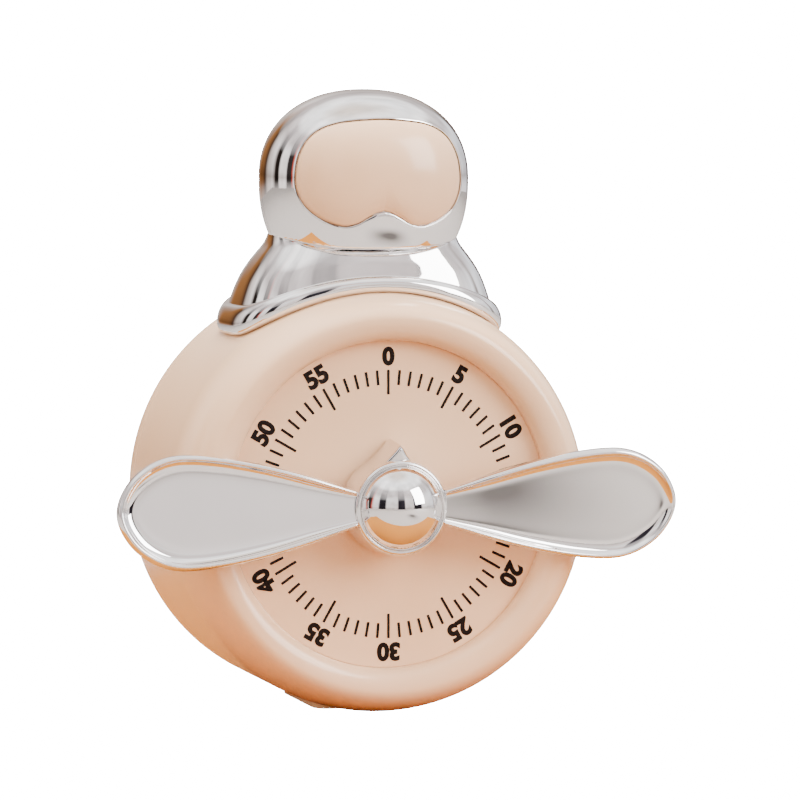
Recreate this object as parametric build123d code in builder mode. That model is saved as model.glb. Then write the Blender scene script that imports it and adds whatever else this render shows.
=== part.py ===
"""Propeller kitchen timer: a round drum with a printed minute dial, a propeller knob and a helmet on top.

Units are millimetres. +Z is up, the dial faces -Y, and +X is to the right of a person reading the dial.
The origin is the middle of the flat foot that the timer stands on.
"""

from build123d import *
import math
import os

os.makedirs("parts", exist_ok=True)

# ---------------------------------------------------------------- driving dimensions
DRUM_R = 33.0  # outer radius of the drum, whose axis is the winding arbor's axis
AXIS_Z = DRUM_R  # height of that axis above the foot
DRUM_FRONT = -22.0  # crest of the bead round the dial
DRUM_BACK = 22.0  # back face of the rear cover
PARTING = 15.0  # plane where the front shell ends and the rear cover begins
WALL = 2.0  # moulded wall of the drum
BEAD_R = 29.0  # radius of the bead's crest
BEAD_ROUND = 11.3  # axial length of the bead's outer rounding
DIAL_R = 25.3  # radius of the dial plate
DIAL_FACE = -18.6  # printed face of the dial plate
DIAL_T = 0.8  # thickness of the dial plate
HEAD_Y = -3.5  # depth of the helmet's middle
HEAD_TOP = AXIS_Z + 64.3
NECK_Z = AXIS_Z + 39.4  # joint between the helmet and its collar
PROP_Y = -26.0  # middle of the propeller's thickness
PROP_R = 44.4  # radius swept by the blade tips
PITCH = 8.0  # degrees that each blade is turned about its own length
ARBOR_R = 1.5  # winding arbor
PLATE_R = 24.2  # movement plates
PLATE_T = 1.0
FRONT_PLATE = -14.2  # front face of the front plate
BACK_PLATE = 0.8  # front face of the back plate
FIT = 0.05  # radial running clearance of a pivot in its hole
GAP = 0.02  # clearance between pieces that are pressed or glued together


def facing(y, x=0.0, z=0.0):
    """A sketch plane that faces the reader of the dial, at depth y, with its origin at (x, z) from the arbor."""
    return Plane(origin=(x, y, AXIS_Z + z), x_dir=(1, 0, 0), z_dir=(0, -1, 0))


def polar(radius, degrees):
    """A point in a facing plane, measured anticlockwise from +X."""
    a = math.radians(degrees)
    return (radius * math.cos(a), radius * math.sin(a))


def save(piece, name):
    """Labels a finished piece and writes it to its own STEP file."""
    piece.part.label = name
    export_step(piece.part, f"parts/{name}.step")


ARBOR_AXIS = Axis((0, 0, AXIS_Z), (0, 1, 0))
CORE_R = DRUM_R - WALL  # inside radius of the drum

# ---------------------------------------------------------------- front shell
BOSS_R = 3.5
BOSS_ANGLES = (30, 150, 270)  # screw bosses for the rear cover
BOSS_CIRCLE = 27.8
SEAT_ANGLES = (90, 190, 335)  # low bosses that the movement is screwed to
SEAT_CIRCLE = 21.5
SEAT_R = 2.4
INNER_FACE = DIAL_FACE + DIAL_T + WALL  # inside face of the front wall
COLLAR_SCREW_X = 11.0
COLLAR_SEAT = AXIS_Z + 27.5  # where the heads of the collar's screws bear, inside the drum
FOOT_HALF = 9.0
FOOT_FRONT = -8.0
FOOT_BACK = 14.0

with BuildPart() as front_shell:
    with BuildSketch(Plane.YZ):
        with BuildLine():
            Polyline(
                (DRUM_FRONT + BEAD_ROUND, AXIS_Z + DRUM_R),
                (PARTING, AXIS_Z + DRUM_R),
                (PARTING, AXIS_Z + CORE_R),
                (-11.0, AXIS_Z + CORE_R),
                (-18.2, AXIS_Z + 29.4),
                (-18.2, AXIS_Z + 27.9),
                (INNER_FACE, AXIS_Z + 27.2),
                (INNER_FACE, AXIS_Z + 4.2),
                (DIAL_FACE + DIAL_T, AXIS_Z + 4.2),
                (DIAL_FACE + DIAL_T, AXIS_Z + DIAL_R + 0.15),
                (-19.2, AXIS_Z + DIAL_R + 0.15),
            )
            EllipticalCenterArc(
                (-19.2, AXIS_Z + BEAD_R), 2.8, BEAD_R - DIAL_R - 0.15, 180, arc_size=90
            )
            EllipticalCenterArc(
                (DRUM_FRONT + BEAD_ROUND, AXIS_Z + BEAD_R), BEAD_ROUND, DRUM_R - BEAD_R, 90, arc_size=90
            )
        make_face()
    revolve(axis=ARBOR_AXIS)
    with BuildSketch(facing(PARTING)):
        with PolarLocations(BOSS_CIRCLE, 3, start_angle=BOSS_ANGLES[0]):
            Circle(BOSS_R)
    extrude(amount=PARTING - INNER_FACE + 0.5)
    with BuildSketch(facing(FRONT_PLATE)):
        with Locations(*[polar(SEAT_CIRCLE, a) for a in SEAT_ANGLES]):
            Circle(SEAT_R)
    extrude(amount=FRONT_PLATE - INNER_FACE + 0.1)
    with BuildSketch(Plane.XY):
        with Locations((0, (FOOT_FRONT + FOOT_BACK) / 2)):
            RectangleRounded(2 * FOOT_HALF, FOOT_BACK - FOOT_FRONT, 2.5)
    extrude(amount=2.2)
    with BuildSketch(facing(PARTING)):
        with PolarLocations(BOSS_CIRCLE, 3, start_angle=BOSS_ANGLES[0]):
            Circle(1.1)
    extrude(amount=12, mode=Mode.SUBTRACT)
    with BuildSketch(facing(FRONT_PLATE)):
        with Locations(*[polar(SEAT_CIRCLE, a) for a in SEAT_ANGLES]):
            Circle(0.9)
    extrude(amount=2.6, mode=Mode.SUBTRACT)
    # flat pads and holes in the drum's roof for the two screws that hold the helmet's collar
    with BuildSketch(Plane.XY.offset(COLLAR_SEAT)):
        with Locations((-COLLAR_SCREW_X, HEAD_Y), (COLLAR_SCREW_X, HEAD_Y)):
            Circle(3.0)
    extrude(amount=2.2)
    with BuildSketch(Plane.XY.offset(COLLAR_SEAT)):
        with Locations((-COLLAR_SCREW_X, HEAD_Y), (COLLAR_SCREW_X, HEAD_Y)):
            Circle(1.3)
    extrude(amount=6, mode=Mode.SUBTRACT)
    # locating spigot for the rear cover
    with BuildSketch(facing(PARTING)):
        Circle(CORE_R + 0.9)
        Circle(CORE_R - 0.5, mode=Mode.SUBTRACT)
    extrude(amount=1.6, mode=Mode.SUBTRACT)
save(front_shell, "front_shell")

# ---------------------------------------------------------------- rear cover, its screws and the magnets
MAGNET_R = 6.0
MAGNET_T = 2.2
MAGNET_X = 13.0
MAGNET_PROUD = 0.3

with BuildPart() as rear_cover:
    with BuildSketch(Plane.YZ):
        with BuildLine():
            Polyline(
                (PARTING, AXIS_Z + CORE_R + 0.8),
                (PARTING, AXIS_Z + DRUM_R),
                (DRUM_BACK - 4.5, AXIS_Z + DRUM_R),
            )
            EllipticalCenterArc((DRUM_BACK - 4.5, AXIS_Z + DRUM_R - 5), 4.5, 5, 0, arc_size=90)
            Polyline(
                (DRUM_BACK, AXIS_Z + DRUM_R - 5),
                (DRUM_BACK, AXIS_Z),
                (DRUM_BACK - WALL, AXIS_Z),
                (DRUM_BACK - WALL, AXIS_Z + 27.0),
                (DRUM_BACK - 4.5, AXIS_Z + CORE_R - 1.0),
                (PARTING - 1.5, AXIS_Z + CORE_R - 1.0),
                (PARTING - 1.5, AXIS_Z + CORE_R + 0.8),
                (PARTING, AXIS_Z + CORE_R + 0.8),
            )
        make_face()
    revolve(axis=ARBOR_AXIS)
    with BuildSketch(facing(DRUM_BACK - WALL + 0.2)):
        with PolarLocations(BOSS_CIRCLE, 3, start_angle=BOSS_ANGLES[0]):
            Circle(BOSS_R + 0.2)
        with Locations((-MAGNET_X, 0), (MAGNET_X, 0)):
            Circle(MAGNET_R + 1.2)
    extrude(amount=1.4)
    with BuildSketch(facing(DRUM_BACK - WALL + 0.2)):
        with PolarLocations(BOSS_CIRCLE, 3, start_angle=BOSS_ANGLES[0]):
            Circle(BOSS_R)
    extrude(amount=DRUM_BACK - WALL + 0.2 - PARTING)
    # clearance round the front shell's bosses
    with BuildSketch(facing(PARTING)):
        with PolarLocations(BOSS_CIRCLE, 3, start_angle=BOSS_ANGLES[0]):
            Circle(BOSS_R + 0.2)
    extrude(amount=2.0, mode=Mode.SUBTRACT)
    with Locations(*[Plane(origin=(x, DRUM_BACK, AXIS_Z + z), z_dir=(0, 1, 0)) for x, z in
                     [polar(BOSS_CIRCLE, a) for a in BOSS_ANGLES]]):
        CounterBoreHole(1.3, 2.4, 3.0)
    with BuildSketch(facing(DRUM_BACK)):
        with Locations((-MAGNET_X, 0), (MAGNET_X, 0)):
            Circle(MAGNET_R + 0.1)
    extrude(amount=MAGNET_T - MAGNET_PROUD, mode=Mode.SUBTRACT)
    # slots that let the bell be heard
    with BuildSketch(facing(DRUM_BACK)):
        with GridLocations(0, 4.2, 1, 3):
            with Locations((0, 14.5)):
                SlotOverall(15, 1.6)
    extrude(amount=3, mode=Mode.SUBTRACT)
save(rear_cover, "rear_cover")

with BuildPart() as magnets:
    with BuildSketch(facing(DRUM_BACK + MAGNET_PROUD)):
        with Locations((-MAGNET_X, 0), (MAGNET_X, 0)):
            Circle(MAGNET_R)
    extrude(amount=MAGNET_T)
    chamfer(magnets.edges().filter_by(GeomType.CIRCLE), 0.2)
save(magnets, "magnets")


def pan_screw(length, shank, head, head_t):
    """A pan-head screw standing on its tip along +Z, with a cross recess, its seat at z = 0."""
    with BuildPart() as screw:
        Cylinder(shank, length, align=(Align.CENTER, Align.CENTER, Align.MAX))
        Cylinder(head, head_t, align=(Align.CENTER, Align.CENTER, Align.MIN))
        fillet(screw.edges().group_by(Axis.Z)[-1], head_t * 0.45)
        with BuildSketch(Plane.XY.offset(head_t)):
            Rectangle(head * 1.2, head * 0.28)
            Rectangle(head * 0.28, head * 1.2)
        extrude(amount=-head_t * 0.55, mode=Mode.SUBTRACT)
    return screw.part


def place(shape, planes):
    """Copies of a shape, one on each plane."""
    return Compound(children=[plane * shape for plane in planes])


def backward(y, x, z):
    """A plane at depth y whose +Z points to the back of the timer."""
    return Plane(origin=(x, y, AXIS_Z + z), x_dir=(-1, 0, 0), z_dir=(0, 1, 0))


with BuildPart() as cover_screws:
    add(place(pan_screw(9.5, 1.1 - GAP, 2.3, 1.6),
              [backward(DRUM_BACK - 3.0, *polar(BOSS_CIRCLE, a)) for a in BOSS_ANGLES]))
save(cover_screws, "cover_screws")

# ---------------------------------------------------------------- dial plate and its printed minute marks
TICK_OUTER = 20.8
TICK_LONG = 3.8
TICK_SHORT = 2.35
TICKS = 72  # every sixth is long, and carries a number

with BuildPart() as dial_plate:
    with BuildSketch(facing(DIAL_FACE + DIAL_T)):
        Circle(DIAL_R)
        Circle(4.0, mode=Mode.SUBTRACT)
    extrude(amount=DIAL_T)
save(dial_plate, "dial_plate")

with BuildPart() as dial_marks:
    with BuildSketch(facing(DIAL_FACE)):
        for tick in range(TICKS):
            length = TICK_LONG if tick % 6 == 0 else TICK_SHORT
            angle = 90 - 360 / TICKS * tick
            with Locations(Location((*polar(TICK_OUTER - length / 2, angle), 0), (0, 0, angle))):
                Rectangle(length, 0.36)
    extrude(amount=0.05)
save(dial_marks, "dial_marks")

# ---------------------------------------------------------------- helmet
HEAD_HALF = 16.4
HEAD_MID = AXIS_Z + 50.1
HEAD_DEPTH = 10.5
HEAD_FRONT = 13.3  # the face stands further forward than the back stands behind
HEAD_ROUND = 8.6
SHELL = 2.2
VISOR_T = 1.4


def upright(y):
    """A sketch plane that faces the reader at depth y, with its origin on the foot plane."""
    return Plane(origin=(0, y, 0), x_dir=(1, 0, 0), z_dir=(0, -1, 0))


def head_solid(inset):
    """The helmet's outer form, drawn in by inset all round and cut off at the neck."""
    half, top = HEAD_HALF - inset, HEAD_TOP - inset
    with BuildPart() as head:
        with BuildSketch(upright(HEAD_Y + HEAD_DEPTH - inset)):
            with BuildLine():
                Spline(
                    (half * 0.90, NECK_Z - 4.0),
                    (half * 0.975, HEAD_MID - 6.5),
                    (half, HEAD_MID),
                    (half * 0.827, HEAD_MID + (top - HEAD_MID) * 0.64),
                    (half * 0.48, HEAD_MID + (top - HEAD_MID) * 0.915),
                    (0, top),
                    tangents=((0.35, 1), (-1, 0)),
                )
                mirror(about=Plane.YZ)
                Line((-half * 0.90, NECK_Z - 4.0), (half * 0.90, NECK_Z - 4.0))
            make_face()
        extrude(amount=HEAD_DEPTH + HEAD_FRONT - 2 * inset)
        rims = head.edges().filter_by(lambda e: abs(e.center().Y - HEAD_Y) > 5)
        fillet(rims, HEAD_ROUND - inset)
        split(bisect_by=Plane.XY.offset(NECK_Z), keep=Keep.TOP)
    return head.part


def visor_outline(grow):
    """The goggle-shaped outline of the visor, with its notch over the nose, larger all round by grow."""
    middle = AXIS_Z + 51
    points = [(0, 44.7), (2.6, 43.6), (6.6, 42.2), (11.2, 44.0), (13.5, 50.0), (11.0, 56.4), (5.0, 59.1), (0, 59.4)]
    with BuildSketch(upright(HEAD_Y)) as outline:
        with BuildLine():
            Spline(
                *[(x * (1 + grow / 13.5), middle + (z + AXIS_Z - middle) * (1 + grow / 8.5)) for x, z in points],
                tangents=((1, 0), (-1, 0)),
            )
            mirror(about=Plane.YZ)
        make_face()
    return outline.sketch


outer_head = head_solid(0)
inner_head = head_solid(SHELL)
visor_face = visor_outline(0)
visor_opening = visor_outline(0.08)

with BuildPart() as visor:
    add(outer_head)
    extrude(visor_face, amount=20, dir=(0, -1, 0), mode=Mode.INTERSECT)
    with Locations((0, VISOR_T, 0)):
        add(outer_head, mode=Mode.SUBTRACT)
save(visor, "visor")

with BuildPart() as visor_pocket:
    extrude(visor_opening, amount=20, dir=(0, -1, 0))
    with Locations((0, VISOR_T + GAP, 0)):
        add(outer_head, mode=Mode.SUBTRACT)

with BuildPart() as helmet_whole:
    add(outer_head)
    add(visor_pocket.part, mode=Mode.SUBTRACT)
    add(inner_head, mode=Mode.SUBTRACT)
    with Locations((0, 0, -2)):
        add(inner_head, mode=Mode.SUBTRACT)

for name, keep, offset_y in (("helmet_front", Keep.TOP, -0.03), ("helmet_rear", Keep.BOTTOM, 0.03)):
    with BuildPart() as half_shell:
        add(helmet_whole.part)
        split(bisect_by=Plane.XZ.offset(-(HEAD_Y + offset_y)), keep=keep)
    save(half_shell, name)

# ---------------------------------------------------------------- collar that saddles the drum and carries the helmet
SADDLE_CROWN = 35.2  # the saddle's top surface is an elliptic arch over the drum's axis
SADDLE_SPREAD = 40.0
SADDLE_HALF = 21.75
SADDLE_DEPTH = 15.2
SADDLE_CORNER = 11.0
SADDLE_Y = -1.2

with BuildPart() as drum_form:
    with BuildSketch(Plane.YZ):
        with BuildLine():
            EllipticalCenterArc(
                (DRUM_FRONT + BEAD_ROUND, AXIS_Z + BEAD_R), BEAD_ROUND + FIT, DRUM_R - BEAD_R + FIT, 90, arc_size=90
            )
            Polyline(
                (DRUM_FRONT + BEAD_ROUND, AXIS_Z + DRUM_R + FIT),
                (PARTING, AXIS_Z + DRUM_R + FIT),
                (PARTING, AXIS_Z),
                (DRUM_FRONT - FIT, AXIS_Z),
                (DRUM_FRONT - FIT, AXIS_Z + BEAD_R),
            )
        make_face()
    revolve(axis=ARBOR_AXIS)

with BuildPart() as collar:
    with BuildSketch(Plane.XY.offset(AXIS_Z + 20)):
        with Locations((0, SADDLE_Y)):
            RectangleRounded(2 * SADDLE_HALF, 2 * SADDLE_DEPTH, SADDLE_CORNER)
    extrude(amount=20)
    with BuildSketch(facing(SADDLE_Y + 20)):
        Ellipse(SADDLE_SPREAD, SADDLE_CROWN)
    extrude(amount=40, mode=Mode.INTERSECT)
    fillet(collar.faces().sort_by(Axis.Z)[-1].edges(), 1.2)
    for height, half, depth, corner, middle in (
        (AXIS_Z + 28.5, 20.3, 13.6, 9.8, SADDLE_Y),
        (AXIS_Z + 35, 19.1, 12.3, 9.6, SADDLE_Y - 0.4),
        (NECK_Z - 0.05, 15.7, 10.4, 8.6, HEAD_Y + 0.6),
    ):
        with BuildSketch(Plane.XY.offset(height)):
            with Locations((0, middle)):
                RectangleRounded(2 * half, 2 * depth, corner)
    loft()
    with BuildSketch(Plane.XY.offset(NECK_Z - 1.5)):
        with Locations((0, HEAD_Y)):
            RectangleRounded(2 * 12.8, 2 * 8.0, 6.0)
    extrude(amount=4.5)
    with BuildSketch(Plane.XY.offset(NECK_Z + 3.5)):
        with Locations((0, HEAD_Y)):
            RectangleRounded(2 * 11.3, 2 * 6.5, 4.5)
    extrude(amount=-6.5, mode=Mode.SUBTRACT)
    add(drum_form.part, mode=Mode.SUBTRACT)
    with BuildSketch(Plane.XY.offset(AXIS_Z + 30)):
        with Locations((-COLLAR_SCREW_X, HEAD_Y), (COLLAR_SCREW_X, HEAD_Y)):
            Circle(1.1)
    extrude(amount=4.6, mode=Mode.SUBTRACT)
save(collar, "collar")

with BuildPart() as collar_screws:
    seats = [Plane(origin=(x, HEAD_Y, COLLAR_SEAT), z_dir=(0, 0, -1)) for x in (-COLLAR_SCREW_X, COLLAR_SCREW_X)]
    add(place(pan_screw(6.6, 1.1 - GAP, 2.3, 1.6), seats))
save(collar_screws, "collar_screws")

# ---------------------------------------------------------------- propeller knob
HUB_R = 7.4
HUB_FRONT = -26.7
HUB_BACK = -24.3
NOSE_R = 6.4
NOSE_BEND = 7.12
NOSE_Y = -23.48  # centre of the nose's bend, which puts its tip at -30.6
POINTER_BACK = DIAL_FACE - 0.3
BLADE_T = 3.0
FLAT = 1.05  # distance of the arbor's flat from its axis


def keyed_bore():
    """The arbor's section with its flat, eased so that the knob slides on."""
    with BuildSketch() as bore:
        Circle(ARBOR_R + GAP)
        with Locations((0, FLAT + GAP + 2)):
            Rectangle(6, 4, mode=Mode.SUBTRACT)
    return bore.sketch


def blade_outline(inset):
    """The outline of the blade on the +X side, drawn in by inset."""
    points = [(14, 5.1), (20, 6.8), (26, 8.0), (32, 8.75), (36, 8.6), (39.5, 7.2), (42.6, 4.3)]
    shrink = 1 - inset / 16
    edge = [(30 + (x - 30) * shrink, y - inset) for x, y in points]
    start = (5.0 if inset == 0 else 10.0, 2.3 if inset == 0 else 4.2 - inset)
    with BuildSketch() as blade:
        with BuildLine():
            Spline(start, *edge, (PROP_R - inset, 0), tangents=((1, 0.25), (0, -1)))
            mirror(about=Plane.XZ)
            Line(start, (start[0], -start[1]))
        make_face()
    return blade.sketch


with BuildPart() as right_blade:
    with BuildSketch(Plane.XY.offset(-BLADE_T / 2)):
        add(blade_outline(0))
    extrude(amount=BLADE_T)
    rims = right_blade.edges().filter_by(Plane.XY).filter_by(lambda e: e.center().X > 6)
    fillet(rims, 1.3)
    with BuildSketch(Plane.XY.offset(BLADE_T / 2)):
        add(blade_outline(1.5))
    extrude(amount=-0.8, mode=Mode.SUBTRACT)

blade_plane = Plane(origin=(0, PROP_Y + 0.4, AXIS_Z), x_dir=(1, 0, 0), z_dir=(0, -1, 0))
with BuildPart() as propeller:
    with BuildSketch(facing(HUB_BACK)):
        Circle(HUB_R)
    extrude(amount=HUB_BACK - HUB_FRONT)
    fillet(propeller.edges().filter_by(GeomType.CIRCLE), 0.7)
    for turn in (0, 180):
        add(blade_plane * Rotation(0, 0, turn) * Rotation(PITCH, 0, 0) * right_blade.part)
    with BuildSketch(facing(HUB_BACK + 3)):
        add(keyed_bore())
    extrude(amount=12, mode=Mode.SUBTRACT)
    # seats for the nose cap in front and the pointer collar behind
    with BuildSketch(facing(HUB_FRONT)):
        Circle(NOSE_R + 0.1)
    extrude(amount=4, mode=Mode.SUBTRACT)
    with BuildSketch(facing(HUB_BACK)):
        Circle(7.15)
    extrude(amount=-4, mode=Mode.SUBTRACT)
save(propeller, "propeller")

with BuildPart() as nose_cap:
    with Locations((0, NOSE_Y, AXIS_Z)):
        Sphere(NOSE_BEND)
    with BuildSketch(facing(HUB_FRONT - 0.05)):
        Rectangle(20, 20)
    extrude(amount=-20, mode=Mode.SUBTRACT)
    with BuildSketch(facing(HUB_FRONT + 1)):
        Circle(3.6)
    extrude(amount=3.0, mode=Mode.SUBTRACT)
save(nose_cap, "nose_cap")

with BuildPart() as pointer_collar:
    with BuildSketch(facing(POINTER_BACK)):
        Circle(7.7)
    with BuildSketch(facing(HUB_BACK + GAP)):
        Circle(7.0)
    loft()
    with BuildSketch(facing(POINTER_BACK)):
        with BuildLine():
            ThreePointArc((-2.9, 6.8), (-1.1, 8.5), (0, 10.4))
            ThreePointArc((0, 10.4), (1.1, 8.5), (2.9, 6.8))
            Line((2.9, 6.8), (-2.9, 6.8))
        make_face()
    with BuildSketch(facing(HUB_BACK + GAP)):
        with BuildLine():
            ThreePointArc((-2.1, 6.2), (-0.85, 7.4), (0, 8.6))
            ThreePointArc((0, 8.6), (0.85, 7.4), (2.1, 6.2))
            Line((2.1, 6.2), (-2.1, 6.2))
        make_face()
    loft()
    with BuildSketch(facing(POINTER_BACK + 1)):
        add(keyed_bore())
    extrude(amount=12, mode=Mode.SUBTRACT)
save(pointer_collar, "pointer_collar")

# ---------------------------------------------------------------- winding arbor and the knob's screw
BACK_END = BACK_PLATE + PLATE_T
PIVOT_R = 0.5

with BuildPart() as main_arbor:
    with BuildSketch(facing(BACK_PLATE - 0.05)):
        Circle(ARBOR_R)
    extrude(amount=BACK_PLATE - 0.05 - HUB_FRONT - 0.2)
    with BuildSketch(facing(-18.2)):
        with Locations((0, FLAT + 2)):
            Rectangle(6, 4)
    extrude(amount=12, mode=Mode.SUBTRACT)
    with BuildSketch(facing(BACK_END + 0.3)):
        Circle(0.9)
    extrude(amount=BACK_END + 0.35 - BACK_PLATE + 0.2)
    with BuildSketch(facing(HUB_FRONT)):
        Circle(0.7)
    extrude(amount=-6, mode=Mode.SUBTRACT)
save(main_arbor, "main_arbor")

with BuildPart() as knob_screw:
    add(Plane(origin=(0, HUB_FRONT - GAP, AXIS_Z), z_dir=(0, -1, 0)) * pan_screw(5.0, 0.7 - GAP, 2.6, 1.4))
save(knob_screw, "knob_screw")

# ---------------------------------------------------------------- gear train
PRESSURE = math.radians(25)
BACKLASH = 0.05  # thinning of each flank, in modules
# Arbors stand round the main wheel. Each is (x, z) from the winding arbor.
SECOND = polar(15.75, 200.0)
THIRD = polar(16.5, 237.9)
FOURTH = polar(16.5, 268.47)
ESCAPE = polar(17.0, 294.28)
PALLET = polar(17.0, 319.6)
HAMMER = (-14.5, 9.5)
MAIN_TEETH, MAIN_MODULE = 60, 0.45
SECOND_TEETH, SECOND_MODULE = 50, 0.35
THIRD_TEETH, THIRD_MODULE = 48, 0.30
FOURTH_TEETH, FOURTH_MODULE = 40, 0.30
ESCAPE_TEETH, ESCAPE_R = 15, 4.6
PINION_TEETH = 10


def heading(start, end):
    """The direction from one arbor to another, in degrees."""
    return math.degrees(math.atan2(end[1] - start[1], end[0] - start[0]))


def flank(teeth, module, radius):
    """Half the angle of a tooth at a radius, in radians."""
    pitch = teeth * module / 2
    base = pitch * math.cos(PRESSURE)
    alpha = math.acos(min(1, base / radius))
    half = (math.pi / 2 - 2 * BACKLASH) / teeth
    return half + math.tan(PRESSURE) - PRESSURE - math.tan(alpha) + alpha


def gear(teeth, module, tooth_at):
    """A spur gear's outline with the middle of one tooth at an angle given in degrees."""
    pitch = teeth * module / 2
    tip, root = pitch + 0.8 * module, pitch - module
    start = max(root, pitch * math.cos(PRESSURE))
    radii = (start, (start + tip) / 2, tip)
    with BuildSketch() as outline:
        with BuildLine():
            for tooth in range(teeth):
                middle = math.radians(tooth_at) + 2 * math.pi * tooth / teeth
                after = middle + 2 * math.pi / teeth

                def at(radius, angle):
                    return (radius * math.cos(angle), radius * math.sin(angle))

                rising = [at(r, middle - flank(teeth, module, r)) for r in radii]
                falling = [at(r, middle + flank(teeth, module, r)) for r in reversed(radii)]
                low = at(root, middle + flank(teeth, module, start))
                if start > root:
                    Line(at(root, middle - flank(teeth, module, start)), rising[0])
                    Line(falling[2], low)
                ThreePointArc(*rising)
                Line(rising[2], falling[0])
                ThreePointArc(*falling)
                Line(low, at(root, after - flank(teeth, module, start)))
        make_face()
    return outline.sketch


def crossed(outline, inner, outer, spokes):
    """A wheel's outline with round windows between its hub and its rim."""
    middle, window = (inner + outer) / 2, (outer - inner) / 2
    with BuildSketch() as wheel:
        add(outline)
        with PolarLocations(middle, spokes):
            Circle(window, mode=Mode.SUBTRACT)
    return wheel.sketch


def arbor(at, profile, pinion_phase, layer, shaft_r=0.8):
    """An arbor with pivots in both plates and a ten-leaf pinion between two depths."""
    with BuildPart() as piece:
        with BuildSketch(facing(BACK_PLATE - 0.1, *at)):
            Circle(shaft_r)
        extrude(amount=BACK_PLATE - 0.1 - (FRONT_PLATE + PLATE_T + 0.1))
        with BuildSketch(facing(BACK_END + 0.2, *at)):
            Circle(PIVOT_R)
        extrude(amount=BACK_END + 0.2 - FRONT_PLATE + 0.2)
        with BuildSketch(facing(layer[0], *at)):
            add(gear(PINION_TEETH, profile, pinion_phase))
        extrude(amount=layer[0] - layer[1])
    return piece


def wheel(at, outline, layer, bore):
    """A thin wheel on an arbor, between two depths, with a bore that grips the arbor."""
    with BuildPart() as piece:
        with BuildSketch(facing(layer[0], *at)):
            add(outline)
            Circle(bore, mode=Mode.SUBTRACT)
        extrude(amount=layer[0] - layer[1])
    return piece


HALF_LEAF = 180 / PINION_TEETH
main_outline = gear(MAIN_TEETH, MAIN_MODULE, heading((0, 0), SECOND))
second_outline = gear(SECOND_TEETH, SECOND_MODULE, heading(SECOND, THIRD))
third_outline = gear(THIRD_TEETH, THIRD_MODULE, heading(THIRD, FOURTH))
fourth_outline = gear(FOURTH_TEETH, FOURTH_MODULE, heading(FOURTH, ESCAPE))

main_wheel = wheel((0, 0), crossed(main_outline, 4.0, 11.2, 5), (-6.4, -7.6), ARBOR_R + GAP)
second_wheel = wheel(SECOND, crossed(second_outline, 2.2, 7.2, 5), (-4.4, -5.2), 0.8 + GAP)
third_wheel = wheel(THIRD, crossed(third_outline, 1.9, 5.9, 5), (-2.5, -3.2), 0.8 + GAP)
fourth_wheel = wheel(FOURTH, crossed(fourth_outline, 1.8, 4.8, 5), (-9.9, -10.6), 0.8 + GAP)
second_arbor = arbor(SECOND, MAIN_MODULE, heading(SECOND, (0, 0)) + HALF_LEAF, (-6.0, -8.0))
third_arbor = arbor(THIRD, SECOND_MODULE, heading(THIRD, SECOND) + HALF_LEAF, (-4.0, -5.6))
fourth_arbor = arbor(FOURTH, THIRD_MODULE, heading(FOURTH, THIRD) + HALF_LEAF, (-2.1, -3.6))
escape_arbor = arbor(ESCAPE, FOURTH_MODULE, heading(ESCAPE, FOURTH) + HALF_LEAF, (-9.5, -11.0))

with BuildSketch() as escape_outline:
    with BuildLine():
        corners = []
        for tooth in range(ESCAPE_TEETH):
            pitch_angle = 360 / ESCAPE_TEETH
            corners.append(polar(ESCAPE_R - 1.3, pitch_angle * tooth))
            corners.append(polar(ESCAPE_R, pitch_angle * (tooth + 0.30)))
            corners.append(polar(ESCAPE_R, pitch_angle * (tooth + 0.38)))
            corners.append(polar(ESCAPE_R - 1.3, pitch_angle * (tooth + 0.62)))
        Polyline(*corners, close=True)
    make_face()
escape_wheel = wheel(ESCAPE, escape_outline.sketch, (-3.3, -4.0), 0.8 + GAP)

for piece, name in (
    (main_wheel, "main_wheel"),
    (second_wheel, "second_wheel"),
    (third_wheel, "third_wheel"),
    (fourth_wheel, "fourth_wheel"),
    (escape_wheel, "escape_wheel"),
    (second_arbor, "second_arbor"),
    (third_arbor, "third_arbor"),
    (fourth_arbor, "fourth_arbor"),
    (escape_arbor, "escape_arbor"),
):
    save(piece, name)

# ---------------------------------------------------------------- stop cam on the winding arbor, and its pin
STOP_CIRCLE = 6.0
STOP_PIN_R = 0.35
LUG_HALF = 0.24
STOP_PIN = polar(STOP_CIRCLE, 276.0)

with BuildPart() as stop_cam:
    with BuildSketch(facing(0.2)):
        Circle(4.2)
        with Locations((0, -(STOP_CIRCLE + 0.5) / 2)):
            Rectangle(2 * LUG_HALF, STOP_CIRCLE + 0.5)
        Circle(ARBOR_R + GAP, mode=Mode.SUBTRACT)
    extrude(amount=1.2)
save(stop_cam, "stop_cam")

with BuildPart() as stop_pin:
    with BuildSketch(facing(BACK_END, *STOP_PIN)):
        Circle(STOP_PIN_R)
    extrude(amount=BACK_END + 1.2)
save(stop_pin, "stop_pin")

# ---------------------------------------------------------------- pallet arbor with its anchor
PALLET_TO_ESCAPE = heading(PALLET, ESCAPE)
PALLET_REACH = math.dist(PALLET, ESCAPE)
PIN_R = 0.3
PIN_SPREAD = 42.0  # half the angle between the pallet pins, seen from the escape wheel
PIN_CLEAR = 0.36

with BuildPart() as pallet_arbor:
    with BuildSketch(facing(BACK_PLATE - 0.1, *PALLET)):
        Circle(0.8)
    extrude(amount=BACK_PLATE - 0.1 - (FRONT_PLATE + PLATE_T + 0.1))
    with BuildSketch(facing(BACK_END + 0.2, *PALLET)):
        Circle(PIVOT_R)
    extrude(amount=BACK_END + 0.2 - FRONT_PLATE + 0.2)
save(pallet_arbor, "pallet_arbor")

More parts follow.
